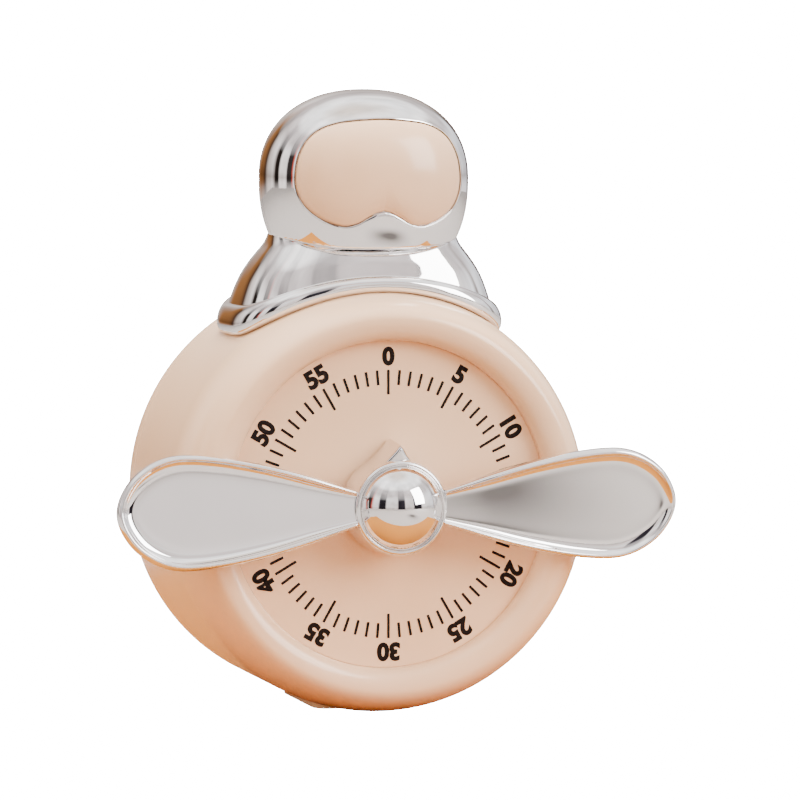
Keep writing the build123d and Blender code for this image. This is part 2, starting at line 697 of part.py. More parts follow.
pin_circle = ESCAPE_R + PIN_R + PIN_CLEAR
from_escape = heading(ESCAPE, PALLET)
pins = [
    (ESCAPE[0] + polar(pin_circle, from_escape + side)[0] - PALLET[0],
     ESCAPE[1] + polar(pin_circle, from_escape + side)[1] - PALLET[1])
    for side in (-PIN_SPREAD, PIN_SPREAD)
]
with BuildPart() as anchor:
    with BuildSketch(facing(-4.5, *PALLET)):
        Circle(1.5)
        for pin in pins:
            length = math.hypot(*pin)
            angle = math.degrees(math.atan2(pin[1], pin[0]))
            with Locations(Location((pin[0] / 2, pin[1] / 2, 0), (0, 0, angle))):
                SlotCenterPoint((0, 0), (length / 2, 0), 1.1)
        Circle(0.8 + GAP, mode=Mode.SUBTRACT)
    extrude(amount=0.7)
    with BuildSketch(facing(-3.0, *PALLET)):
        with Locations(*pins):
            Circle(PIN_R)
    extrude(amount=1.6)
save(anchor, "anchor")

# ---------------------------------------------------------------- plates, pillars and their screws
PILLARS = (polar(22.0, 284.0), polar(22.0, 50.0), polar(22.0, 165.0))
SEATS = [polar(SEAT_CIRCLE, a) for a in SEAT_ANGLES]
SPRING_POST = (0.0, 10.3)
BELL_POST = (0.0, 6.4)


def plate(front, extra):
    """A movement plate whose front face is at a depth, with the arbors' pivot holes and further (place, radius)."""
    with BuildPart() as piece:
        with BuildSketch(facing(front + PLATE_T)):
            Circle(PLATE_R)
            for hole in (SECOND, THIRD, FOURTH, ESCAPE, PALLET):
                with Locations(hole):
                    Circle(PIVOT_R + FIT, mode=Mode.SUBTRACT)
            for hole in PILLARS:
                with Locations(hole):
                    Circle(0.9 + GAP, mode=Mode.SUBTRACT)
            for hole, radius in extra:
                with Locations(hole):
                    Circle(radius, mode=Mode.SUBTRACT)
        extrude(amount=PLATE_T)
    return piece


front_holes = [((0, 0), ARBOR_R + FIT), (HAMMER, PIVOT_R + FIT), (SPRING_POST, 0.9 + GAP)]
front_holes += [(seat, 1.0) for seat in SEATS]
back_holes = [((0, 0), 0.9 + FIT), (HAMMER, 0.8 + FIT), (BELL_POST, 1.2 + GAP)]
back_holes += [(STOP_PIN, STOP_PIN_R + GAP)]
front_plate = plate(FRONT_PLATE, front_holes)
back_plate = plate(BACK_PLATE, back_holes)
save(front_plate, "front_plate")
save(back_plate, "back_plate")

with BuildPart() as pillars:
    for at in PILLARS:
        with BuildSketch(facing(BACK_PLATE - GAP, *at)):
            Circle(1.1)
        extrude(amount=BACK_PLATE - FRONT_PLATE - PLATE_T - 2 * GAP)
        with BuildSketch(facing(BACK_END + 1.3, *at)):
            Circle(0.9)
        extrude(amount=BACK_END + 1.3 - FRONT_PLATE)
save(pillars, "pillars")

with BuildPart() as pillar_nuts:
    for at in PILLARS:
        with BuildSketch(facing(BACK_END + GAP + 1.1, *at)):
            RegularPolygon(1.7, 6)
            Circle(0.9 + GAP, mode=Mode.SUBTRACT)
        extrude(amount=1.1)
save(pillar_nuts, "pillar_nuts")

with BuildPart() as movement_screws:
    add(place(pan_screw(3.3, 0.9 - GAP, 1.9, 1.1),
              [backward(FRONT_PLATE + PLATE_T + GAP, *seat) for seat in SEATS]))
save(movement_screws, "movement_screws")

# ---------------------------------------------------------------- mainspring and the post it hooks to
SPRING_TURNS = 6.5
SPRING_T = 0.28
SPRING_IN = 2.0
SPRING_OUT = 9.2


def coil(side):
    """Points along one face of the mainspring's strip."""
    count = int(SPRING_TURNS * 12)
    for step in range(count + 1):
        radius = SPRING_IN + (SPRING_OUT - SPRING_IN) * step / count + side * SPRING_T / 2
        yield polar(radius, 90 - 360 * SPRING_TURNS * (1 - step / count))


with BuildPart() as spring_post:
    with BuildSketch(facing(-8.6, *SPRING_POST)):
        Circle(0.9)
    extrude(amount=-8.6 - FRONT_PLATE)
save(spring_post, "spring_post")

with BuildPart() as mainspring:
    with BuildSketch(facing(-8.8)):
        with BuildLine():
            inner_face = Spline(*coil(-1))
            outer_face = Spline(*coil(1))
            Line(inner_face @ 0, outer_face @ 0)
            Line(inner_face @ 1, outer_face @ 1)
        make_face()
    extrude(amount=4.0)
save(mainspring, "mainspring")

# ---------------------------------------------------------------- bell, its post and nut, and the hammer
BELL_R = 17.3
BELL_RIM = 4.6
BELL_CROWN = 13.2
BELL_T = 0.8

with BuildPart() as bell:
    with BuildSketch(Plane.YZ):
        with BuildLine():
            Line((BELL_RIM, AXIS_Z + BELL_R), (BELL_RIM, AXIS_Z + BELL_R - BELL_T))
            EllipticalCenterArc((BELL_RIM, AXIS_Z), BELL_CROWN - BELL_T - BELL_RIM, BELL_R - BELL_T, 0, arc_size=90)
            Line((BELL_CROWN - BELL_T, AXIS_Z), (BELL_CROWN, AXIS_Z))
            EllipticalCenterArc((BELL_RIM, AXIS_Z), BELL_CROWN - BELL_RIM, BELL_R, 0, arc_size=90)
        make_face()
    revolve(axis=ARBOR_AXIS)
    with BuildSketch(facing(BELL_CROWN + 1)):
        Circle(0.9 + GAP)
    extrude(amount=3, mode=Mode.SUBTRACT)
bell.part = Pos(BELL_POST[0], 0, BELL_POST[1]) * bell.part
save(bell, "bell")

with BuildPart() as bell_post:
    with BuildSketch(facing(BELL_CROWN - BELL_T - 0.3, *BELL_POST)):
        Circle(2.0)
    extrude(amount=BELL_CROWN - BELL_T - 0.3 - BACK_END - GAP)
    with BuildSketch(facing(BELL_CROWN + 1.6, *BELL_POST)):
        Circle(0.9)
    extrude(amount=5)
    with BuildSketch(facing(BACK_END + 1, *BELL_POST)):
        Circle(1.2)
    extrude(amount=PLATE_T + 0.8)
save(bell_post, "bell_post")

with BuildPart() as bell_nut:
    with BuildSketch(facing(BELL_CROWN + 0.15 + 1.4, *BELL_POST)):
        RegularPolygon(2.3, 6)
        Circle(0.9 + GAP, mode=Mode.SUBTRACT)
    extrude(amount=1.4)
save(bell_nut, "bell_nut")

HEAD_AT = (BELL_POST[0] + polar(13.4, 215)[0], BELL_POST[1] + polar(13.4, 215)[1])
ARM = (HEAD_AT[0] - HAMMER[0], HEAD_AT[1] - HAMMER[1])
ARM_ANGLE = math.degrees(math.atan2(ARM[1], ARM[0]))

with BuildPart() as hammer_arbor:
    with BuildSketch(facing(5.4, *HAMMER)):
        Circle(0.8)
    extrude(amount=5.4 - (FRONT_PLATE + PLATE_T + 0.1))
    with BuildSketch(facing(FRONT_PLATE + PLATE_T + 0.2, *HAMMER)):
        Circle(PIVOT_R)
    extrude(amount=PLATE_T + 0.4)
save(hammer_arbor, "hammer_arbor")

with BuildPart() as hammer_arm:
    with BuildSketch(facing(3.9, *HAMMER)):
        Circle(1.5)
        with Locations(Location((ARM[0] / 2, ARM[1] / 2, 0), (0, 0, ARM_ANGLE))):
            Rectangle(math.hypot(*ARM), 1.2)
        with Locations(ARM):
            Circle(1.5)
        Circle(0.8 + GAP, mode=Mode.SUBTRACT)
    extrude(amount=0.8)
    with BuildSketch(facing(5.4, *HAMMER)):
        with Locations(ARM):
            Circle(1.5)
    extrude(amount=2.3)
save(hammer_arm, "hammer_arm")

# a wire spring coiled round the hammer's arbor, with its end on the back plate
with BuildPart() as hammer_spring:
    with BuildLine() as wire:
        Helix(pitch=0.5, height=2.0, radius=1.25, center=(HAMMER[0], -1.4, AXIS_Z + HAMMER[1]), direction=(0, 1, 0))
    with BuildSketch(Plane(origin=wire.line @ 0, z_dir=wire.line % 0)):
        Circle(0.16)
    sweep()
save(hammer_spring, "hammer_spring")
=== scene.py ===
"""Looks of a propeller kitchen timer: a gloss drum with a printed dial, a chrome winding propeller and a chrome helmet.

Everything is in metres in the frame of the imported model: +Z is up and the dial faces -Y.
"""

import logging
import math
from dataclasses import dataclass, field
from enum import Enum
from typing import Callable, Sequence

import bmesh
import bpy
from mathutils import Matrix, Vector


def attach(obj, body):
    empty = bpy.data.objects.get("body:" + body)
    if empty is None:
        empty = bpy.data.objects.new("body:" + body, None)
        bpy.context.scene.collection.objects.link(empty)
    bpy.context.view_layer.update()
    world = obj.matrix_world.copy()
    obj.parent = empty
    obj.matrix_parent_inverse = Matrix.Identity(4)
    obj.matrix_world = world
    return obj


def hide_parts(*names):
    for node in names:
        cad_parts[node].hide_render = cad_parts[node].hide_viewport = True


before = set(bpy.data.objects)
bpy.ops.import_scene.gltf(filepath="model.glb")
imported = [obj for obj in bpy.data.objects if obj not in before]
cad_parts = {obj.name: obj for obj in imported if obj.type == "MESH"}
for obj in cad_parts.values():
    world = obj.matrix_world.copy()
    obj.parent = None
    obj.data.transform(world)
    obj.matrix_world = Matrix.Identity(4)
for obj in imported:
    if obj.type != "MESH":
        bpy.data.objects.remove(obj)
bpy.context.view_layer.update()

logging.basicConfig(level=logging.INFO, format="%(message)s")
log = logging.getLogger("timer")

MM = 0.001
AXIS_Z = 33.0  # height of the winding arbor above the foot, mm
HOUSING = "housing"
KNOB = "knob"


class Slot(Enum):
    """Material slots of the record that a new piece can take its finish from."""

    SHELL = "shell_plastic"
    PLATED = "plated_plastic"
    INK = "dial_ink"
    ZINC = "zinc_steel"


# ------------------------------------------------------------------ small geometry helpers
Ring = list[tuple[float, float, float]]


def smoothstep(low: float, high: float, value: float) -> float:
    """Eases from 0 at low to 1 at high."""
    t = min(1.0, max(0.0, (value - low) / (high - low)))
    return t * t * (3 - 2 * t)


def curve_through(points: Sequence[tuple[float, float]], x: float) -> float:
    """The height at x of a smooth curve through points in order of x.

    Args:
        points: (x, height) pairs, in rising order of x.
        x: where to read the curve, held to the ends.

    Returns:
        The height, by Catmull-Rom between neighbouring points.
    """
    if x <= points[0][0]:
        return points[0][1]
    if x >= points[-1][0]:
        return points[-1][1]
    i = max(k for k in range(len(points) - 1) if points[k][0] <= x)
    (x0, y0), (x1, y1) = points[i], points[i + 1]
    xa, ya = points[i - 1] if i else (2 * x0 - x1, 2 * y0 - y1)
    xb, yb = points[i + 2] if i + 2 < len(points) else (2 * x1 - x0, 2 * y1 - y0)
    slope0 = (y1 - ya) / (x1 - xa) * (x1 - x0)
    slope1 = (yb - y0) / (xb - x0) * (x1 - x0)
    t = (x - x0) / (x1 - x0)
    return (
        (2 * t**3 - 3 * t**2 + 1) * y0
        + (t**3 - 2 * t**2 + t) * slope0
        + (-2 * t**3 + 3 * t**2) * y1
        + (t**3 - t**2) * slope1
    )


def arc(centre: tuple[float, float], radii: tuple[float, float], start: float, end: float, steps: int) -> list:
    """Points of an elliptic arc in (radius, depth), from one angle to another in degrees, both ends included."""
    angles = [math.radians(start + (end - start) * k / steps) for k in range(steps + 1)]
    return [(centre[0] + radii[0] * math.cos(a), centre[1] + radii[1] * math.sin(a)) for a in angles]


def finish_mesh(name: str, bm: bmesh.types.BMesh, finish: bpy.types.Material, sharp: float = 40) -> bpy.types.Object:
    """Turns a bmesh in millimetres into a finished object in metres.

    Args:
        name: the object's name.
        bm: the geometry, which is freed.
        finish: the material it wears.
        sharp: edges that turn more than this many degrees stay crisp.

    Returns:
        The new object, linked to the scene.
    """
    bmesh.ops.remove_doubles(bm, verts=bm.verts, dist=1e-4)
    bmesh.ops.recalc_face_normals(bm, faces=bm.faces)
    bmesh.ops.scale(bm, vec=(MM, MM, MM), verts=bm.verts)
    mesh = bpy.data.meshes.new(name)
    bm.to_mesh(mesh)
    bm.free()
    mesh.shade_smooth()
    mesh.set_sharp_from_angle(angle=math.radians(sharp))
    mesh.materials.append(finish)
    obj = bpy.data.objects.new(name, mesh)
    bpy.context.scene.collection.objects.link(obj)
    return obj


def lathe(profile: Sequence[tuple[float, float]], steps: int = 160) -> bmesh.types.BMesh:
    """Spins a closed profile round the winding arbor's axis.

    Args:
        profile: (radius, depth) points in millimetres; a point at radius 0 lies on the axis.
        steps: how many faces go round.

    Returns:
        The turned solid.
    """
    bm = bmesh.new()
    verts = [bm.verts.new((r, y, AXIS_Z)) for r, y in profile]
    edges = [bm.edges.new((a, b)) for a, b in zip(verts, verts[1:])]
    if profile[0][0] > 0 or profile[-1][0] > 0:
        edges.append(bm.edges.new((verts[-1], verts[0])))
    bmesh.ops.spin(
        bm,
        geom=verts + edges,
        cent=(0, 0, AXIS_Z),
        axis=(0, 1, 0),
        angle=2 * math.pi,
        steps=steps,
        use_merge=True,
    )
    bmesh.ops.remove_doubles(bm, verts=bm.verts, dist=1e-4)
    return bm


def loft(rings: Sequence[Ring], cap_start: bool = False, cap_end: bool = False) -> bmesh.types.BMesh:
    """Skins closed rings that have the same number of points.

    Args:
        rings: the sections, in order along the piece.
        cap_start: close the first ring with a face.
        cap_end: close the last ring with a face.

    Returns:
        The skin, made by extruding a circle from ring to ring.
    """
    bm = bmesh.new()
    loop = bmesh.ops.create_circle(bm, cap_ends=False, radius=1, segments=len(rings[0]))["verts"]
    edges = list(bm.edges)
    for vert, place in zip(loop, rings[0]):
        vert.co = place
    if cap_start:
        bm.faces.new(loop)
    for ring in rings[1:]:
        grown = bmesh.ops.extrude_edge_only(bm, edges=edges)["geom"]
        edges = [g for g in grown if isinstance(g, bmesh.types.BMEdge)]
        older = set(loop)
        follower = {}
        for vert in (g for g in grown if isinstance(g, bmesh.types.BMVert)):
            for edge in vert.link_edges:
                if edge.other_vert(vert) in older:
                    follower[edge.other_vert(vert)] = vert
        loop = [follower[vert] for vert in loop]
        for vert, place in zip(loop, ring):
            vert.co = place
    if cap_end:
        bm.faces.new(loop)
    return bm


# ------------------------------------------------------------------ finishes
def linear(code: str, alpha: float = 1.0) -> tuple[float, float, float, float]:
    """Turns an sRGB hex code into Blender's linear colour.

    Args:
        code: a code such as #A1B2C3.
        alpha: the opacity to give it.

    Returns:
        Red, green, blue and alpha.
    """
    channels = [int(code[k : k + 2], 16) / 255 for k in (1, 3, 5)]
    red, green, blue = (c / 12.92 if c <= 0.04045 else ((c + 0.055) / 1.055) ** 2.4 for c in channels)
    return (red, green, blue, alpha)


def add_node(
    tree: bpy.types.NodeTree,
    kind: str,
    settings: dict | None = None,
    inputs: dict | None = None,
) -> bpy.types.Node:
    """Adds a node with its settings and inputs.

    Args:
        tree: the material's or world's tree.
        kind: the node's type, such as ShaderNodeTexNoise.
        settings: attributes to set on the node.
        inputs: for each input's name or number, a value or an output socket to link.

    Returns:
        The new node.
    """
    node = tree.nodes.new(kind)
    for name, value in (settings or {}).items():
        setattr(node, name, value)
    for name, value in (inputs or {}).items():
        if isinstance(value, bpy.types.NodeSocket):
            tree.links.new(value, node.inputs[name])
        else:
            node.inputs[name].default_value = value
    return node


def grains_per_metre(size_mm: float) -> float:
    """The noise scale whose features are about size_mm across on Object coordinates."""
    return 1.0 / (size_mm * MM)


@dataclass(frozen=True)
class Finish:
    """A procedural finish: a base colour that drifts a little, a roughness that varies, and a fine relief."""

    name: str
    colour: str
    drift: str  # the colour that the base drifts towards
    metallic: float = 0.0
    rough: tuple[float, float] = (0.3, 0.35)
    ior: float = 1.5
    coat: float = 0.0
    coat_rough: float = 0.03
    patch_mm: float = 12.0  # size of the colour and gloss patches
    relief_mm: float = 0.6  # size of the surface's grain
    relief: float = 0.02  # strength of the grain
    depth_mm: float = 0.01  # height of the grain
    stretch: tuple[float, float, float] = (1.0, 1.0, 1.0)

    def build(self) -> bpy.types.Material:
        """Makes the Blender material.

        Returns:
            The material, named after the finish.
        """
        material = bpy.data.materials.new(self.name)
        material.use_nodes = True
        tree = material.node_tree
        tree.nodes.clear()
        place = add_node(tree, "ShaderNodeTexCoord")
        grain = add_node(
            tree,
            "ShaderNodeMapping",
            inputs={"Vector": place.outputs["Object"], "Scale": self.stretch},
        )
        patches = add_node(
            tree,
            "ShaderNodeTexNoise",
            inputs={"Vector": place.outputs["Object"], "Scale": grains_per_metre(self.patch_mm), "Detail": 3.0},
        )
        tint = add_node(
            tree,
            "ShaderNodeMix",
            {"data_type": "RGBA"},
            {0: patches.outputs["Fac"], 6: linear(self.colour), 7: linear(self.drift)},
        )
        gloss = add_node(
            tree,
            "ShaderNodeMapRange",
            inputs={"Value": patches.outputs["Fac"], "To Min": self.rough[0], "To Max": self.rough[1]},
        )
        fine = add_node(
            tree,
            "ShaderNodeTexNoise",
            inputs={"Vector": grain.outputs["Vector"], "Scale": grains_per_metre(self.relief_mm), "Detail": 2.0},
        )
        bump = add_node(
            tree,
            "ShaderNodeBump",
            inputs={
                "Height": fine.outputs["Fac"],
                "Strength": self.relief,
                "Distance": self.depth_mm * MM,
            },
        )
        shader = add_node(
            tree,
            "ShaderNodeBsdfPrincipled",
            inputs={
                "Base Color": tint.outputs[2],
                "Roughness": gloss.outputs["Result"],
                "Normal": bump.outputs["Normal"],
                "Metallic": self.metallic,
                "Coat Weight": self.coat,
                "Coat Roughness": self.coat_rough,
            },
        )
        if self.metallic < 0.5:
            shader.inputs["IOR"].default_value = self.ior
        add_node(tree, "ShaderNodeOutputMaterial", inputs={"Surface": shader.outputs["BSDF"]})
        return material


# Injection-moulded gloss ABS: an even warm colour, a tight highlight, and the faint waviness of a moulding.
PEACH_ABS = Finish(
    "moulded_gloss_abs", "#F0C9A6", "#EBC098", rough=(0.2, 0.24), ior=1.5, coat=0.2, coat_rough=0.08,
    patch_mm=22, relief_mm=5.0, relief=0.05, depth_mm=0.02,
)
# Chrome plated over ABS: a mirror with the slight swim of the moulding beneath it.
PLATED_CHROME = Finish(
    "chrome_plated_abs", "#F1EFEE", "#E9E7E7", metallic=1.0, rough=(0.025, 0.05),
    patch_mm=9, relief_mm=6.0, relief=0.04, depth_mm=0.02,
)
# Pad-printed ink: a thin, matt, nearly black film. Its IOR is low so that the bright room does not grey it.
PAD_INK = Finish(
    "pad_printed_ink", "#0E0704", "#170C07", rough=(0.55, 0.66), ior=1.2,
    patch_mm=0.9, relief_mm=0.12, relief=0.25, depth_mm=0.01,
)
# Stamped brass plate and wheels: rolled sheet with a fine brushed grain.
STAMPED_BRASS = Finish(
    "stamped_brass", "#D9B36A", "#C79C52", metallic=1.0, rough=(0.22, 0.34),
    patch_mm=5, relief_mm=0.25, relief=0.3, depth_mm=0.01, stretch=(1.0, 1.0, 0.08),
)
# Turned steel: bright, with a grain that runs round the arbor.
TURNED_STEEL = Finish(
    "turned_steel", "#C4C5C7", "#AEB0B3", metallic=1.0, rough=(0.18, 0.3),
    patch_mm=3, relief_mm=0.2, relief=0.25, depth_mm=0.008, stretch=(0.2, 1.0, 0.2),
)
# Blued spring steel: dark, hard and slightly oily.
BLUED_STEEL = Finish(
    "blued_spring_steel", "#3C4250", "#2A2F3E", metallic=1.0, rough=(0.2, 0.32),
    patch_mm=4, relief_mm=0.3, relief=0.15, depth_mm=0.006,
)
# Zinc-plated screws: a bright, slightly clouded plate.
ZINC_PLATE = Finish(
    "bright_zinc_plate", "#CFD1D2", "#B9BCC0", metallic=1.0, rough=(0.22, 0.36),
    patch_mm=1.2, relief_mm=0.25, relief=0.2, depth_mm=0.006,
)
# Nickel-plated disc magnet: ground flat, then plated.
NICKEL = Finish(
    "nickel_plated_magnet", "#C9C6BF", "#B8B5AE", metallic=1.0, rough=(0.16, 0.24),
    patch_mm=2.5, relief_mm=0.4, relief=0.15, depth_mm=0.005,
)


# ------------------------------------------------------------------ drum
@dataclass
class Drum:
    """The moulded drum: a front shell with its bead and foot, and a rear cover with sound slots and magnets."""

    radius: float = 33.0
    front: float = -22.0
    back: float = 22.0
    parting: float = 15.0
    bead_radius: float = 28.7
    bead_depth: float = 11.3
    dial_face: float = -18.6
    recess: float = 25.35
    wall: float = 2.0
    edge_break: float = 0.12  # the small bevel on each side of the parting line
    arbor_hole: float = 5.0
    floor_front: float = 0.9  # how far behind the dial's face the floor starts
    floor_back: float = 2.8
    foot_size: tuple = (18.0, 22.0, 2.2)
    foot_middle: float = 3.0
    cover_flat: float = 28.0
    cover_edge: tuple = (5.0, 4.5)
    screw_ring: float = 27.8
    counterbore: float = 2.4
    magnet_x: float = 13.0
    magnet_radius: float = 6.0
    pocket_depth: float = 1.9
    slot_size: tuple = (15.0, 6.0, 1.6)
    slot_rows: tuple = (10.3, 14.5, 18.7)

    def radius_at(self, depth: float) -> float:
        """Outer radius of the shell.

        Args:
            depth: where along the drum, from its bead to the parting line.

        Returns:
            The radius there.
        """
        shoulder = self.front + self.bead_depth
        if depth >= shoulder:
            return self.radius
        share = min(1.0, (shoulder - depth) / self.bead_depth)
        return self.bead_radius + (self.radius - self.bead_radius) * math.sqrt(1 - share * share)

    def front_shell(self, finish: bpy.types.Material) -> bpy.types.Object:
        """Turns the front shell: bead, side wall and the floor behind the dial plate.

        Args:
            finish: the material it wears.

        Returns:
            The finished piece, which stands for the CAD shell.
        """
        shoulder = self.front + self.bead_depth
        bead_width = self.radius - self.bead_radius
        outer = arc((self.bead_radius, shoulder), (bead_width, -self.bead_depth), 0, 90, 26)
        lip_start = self.dial_face - 1.0
        lip = arc(
            (self.bead_radius, lip_start), (self.bead_radius - self.recess, self.front - lip_start), 90, 180, 16
        )
        inner = self.radius - self.wall
        bevelled = [(self.radius - self.edge_break, self.parting), (self.radius, self.parting - self.edge_break)]
        floor_front, floor_back = self.dial_face + self.floor_front, self.dial_face + self.floor_back
        profile = (
            [(inner, self.parting)]
            + bevelled
            + outer
            + lip[1:]
            + [
                (self.recess, floor_front),
                (self.arbor_hole, floor_front),
                (self.arbor_hole, floor_back),
                (27.2, floor_back),
                (inner, -11.0),
            ]
        )
        shell = finish_mesh("front_shell_moulding", lathe(profile, 192), finish)
        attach(shell, HOUSING)
        return shell

    def foot(self, finish: bpy.types.Material) -> bpy.types.Object:
        """Shapes the flat pad that the drum stands on.

        Args:
            finish: the material it wears.

        Returns:
            The finished piece.
        """
        bm = bmesh.new()
        bmesh.ops.create_cube(bm, size=1.0)
        bmesh.ops.scale(bm, vec=self.foot_size, verts=bm.verts)
        bmesh.ops.translate(bm, vec=(0, self.foot_middle, self.foot_size[2] / 2), verts=bm.verts)
        uprights = [e for e in bm.edges if abs(e.verts[0].co.z - e.verts[1].co.z) > 1]
        bmesh.ops.bevel(
            bm, geom=uprights, offset=2.5, offset_type="OFFSET", segments=6, profile=0.5, affect="EDGES", material=-1
        )
        rim = [e for e in bm.edges if all(v.co.z < 0.01 for v in e.verts)]
        bmesh.ops.bevel(
            bm, geom=rim, offset=0.25, offset_type="OFFSET", segments=2, profile=0.5, affect="EDGES", material=-1
        )
        pad = finish_mesh("foot_pad", bm, finish, 50)
        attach(pad, HOUSING)
        return pad

    def rear_cover(self, finish: bpy.types.Material) -> bpy.types.Object:
        """Turns the rear cover and cuts its sound slots, screw counterbores and magnet pockets.

        Args:
            finish: the material it wears.

        Returns:
            The finished piece, which stands for the CAD cover.
        """
        edge_start = self.back - self.cover_edge[1]
        edge = arc((self.cover_flat, edge_start), self.cover_edge, 90, 0, 18)
        inner = self.radius - self.wall
        seam = self.parting + 0.02
        profile = (
            [(0, self.back - self.wall), (0, self.back)]
            + edge
            + [
                (self.radius, self.parting + self.edge_break),
                (self.radius - self.edge_break, seam),
                (inner, seam),
                (inner, edge_start),
                (self.cover_flat - 1.0, self.back - self.wall),
            ]
        )
        cover = finish_mesh("rear_cover_moulding", lathe(profile, 160), finish, 35)
        cutter = finish_mesh("cover_cutter", self.cover_cuts(), finish)
        cut = cover.modifiers.new("cuts", "BOOLEAN")
        cut.object = cutter
        cut.operation = "DIFFERENCE"
        cut.solver = "EXACT"
        depsgraph = bpy.context.evaluated_depsgraph_get()
        mesh = bpy.data.meshes.new_from_object(cover.evaluated_get(depsgraph))
        cover.modifiers.clear()
        cover.data = mesh
        mesh.shade_smooth()
        mesh.set_sharp_from_angle(angle=math.radians(35))
        bpy.data.objects.remove(cutter)
        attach(cover, HOUSING)
        return cover

    def cover_cuts(self) -> bmesh.types.BMesh:
        """Shapes the tools that cut the rear cover.

        Returns:
            The screw counterbores, magnet pockets and sound slots as separate solids.
        """
        bm = bmesh.new()
        for angle in (30, 150, 270):
            x, z = self.screw_ring * math.cos(math.radians(angle)), self.screw_ring * math.sin(math.radians(angle))
            self.plug(bm, x, z, self.counterbore, self.back - 3.0, self.back + 1)
        for x in (-self.magnet_x, self.magnet_x):
            self.plug(bm, x, 0.0, self.magnet_radius + 0.1, self.back - self.pocket_depth, self.back + 1)
        for row in self.slot_rows:
            made = bmesh.ops.create_cube(bm, size=1.0)["verts"]
            bmesh.ops.scale(bm, vec=self.slot_size, verts=made)
            bmesh.ops.translate(bm, vec=(0, self.back - 1.0, AXIS_Z + row), verts=made)
            around = {e for v in made for e in v.link_edges}
            ends = [e for e in around if abs(e.verts[0].co.y - e.verts[1].co.y) > 1]
            bmesh.ops.bevel(
                bm, geom=ends, offset=0.79, offset_type="OFFSET", segments=6, profile=0.5, affect="EDGES", material=-1
            )
        return bm

    @staticmethod
    def plug(bm: bmesh.types.BMesh, x: float, z: float, radius: float, low: float, high: float) -> None:
        """Adds a cylinder that lies along Y.

        Args:
            bm: the bmesh that it joins.
            x: distance to the side of the arbor.
            z: distance above the arbor.
            radius: the cylinder's radius.
            low: depth of its front end.
            high: depth of its back end.
        """
        made = bmesh.ops.create_cone(
            bm, cap_ends=True, cap_tris=False, segments=48, radius1=radius, radius2=radius, depth=high - low
        )["verts"]
        bmesh.ops.rotate(bm, verts=made, cent=(0, 0, 0), matrix=Matrix.Rotation(math.pi / 2, 3, "X"))
        bmesh.ops.translate(bm, vec=(x, (low + high) / 2, AXIS_Z + z), verts=made)

    def magnets(self, finish: bpy.types.Material) -> bpy.types.Object:
        """Makes the two disc magnets in the rear cover.

        Args:
            finish: the material they wear.

        Returns:
            The finished pair.
        """
        bm = bmesh.new()
        for x in (-self.magnet_x, self.magnet_x):
            self.plug(bm, x, 0.0, self.magnet_radius, self.back - self.pocket_depth + 0.02, self.back + 0.3)
        rims = [e for e in bm.edges if abs(e.verts[0].co.y - e.verts[1].co.y) < 0.01]
        bmesh.ops.bevel(
            bm, geom=rims, offset=0.25, offset_type="OFFSET", segments=3, profile=0.5, affect="EDGES", material=-1
        )
        pair = finish_mesh("back_magnet_discs", bm, finish, 30)
        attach(pair, HOUSING)
        return pair


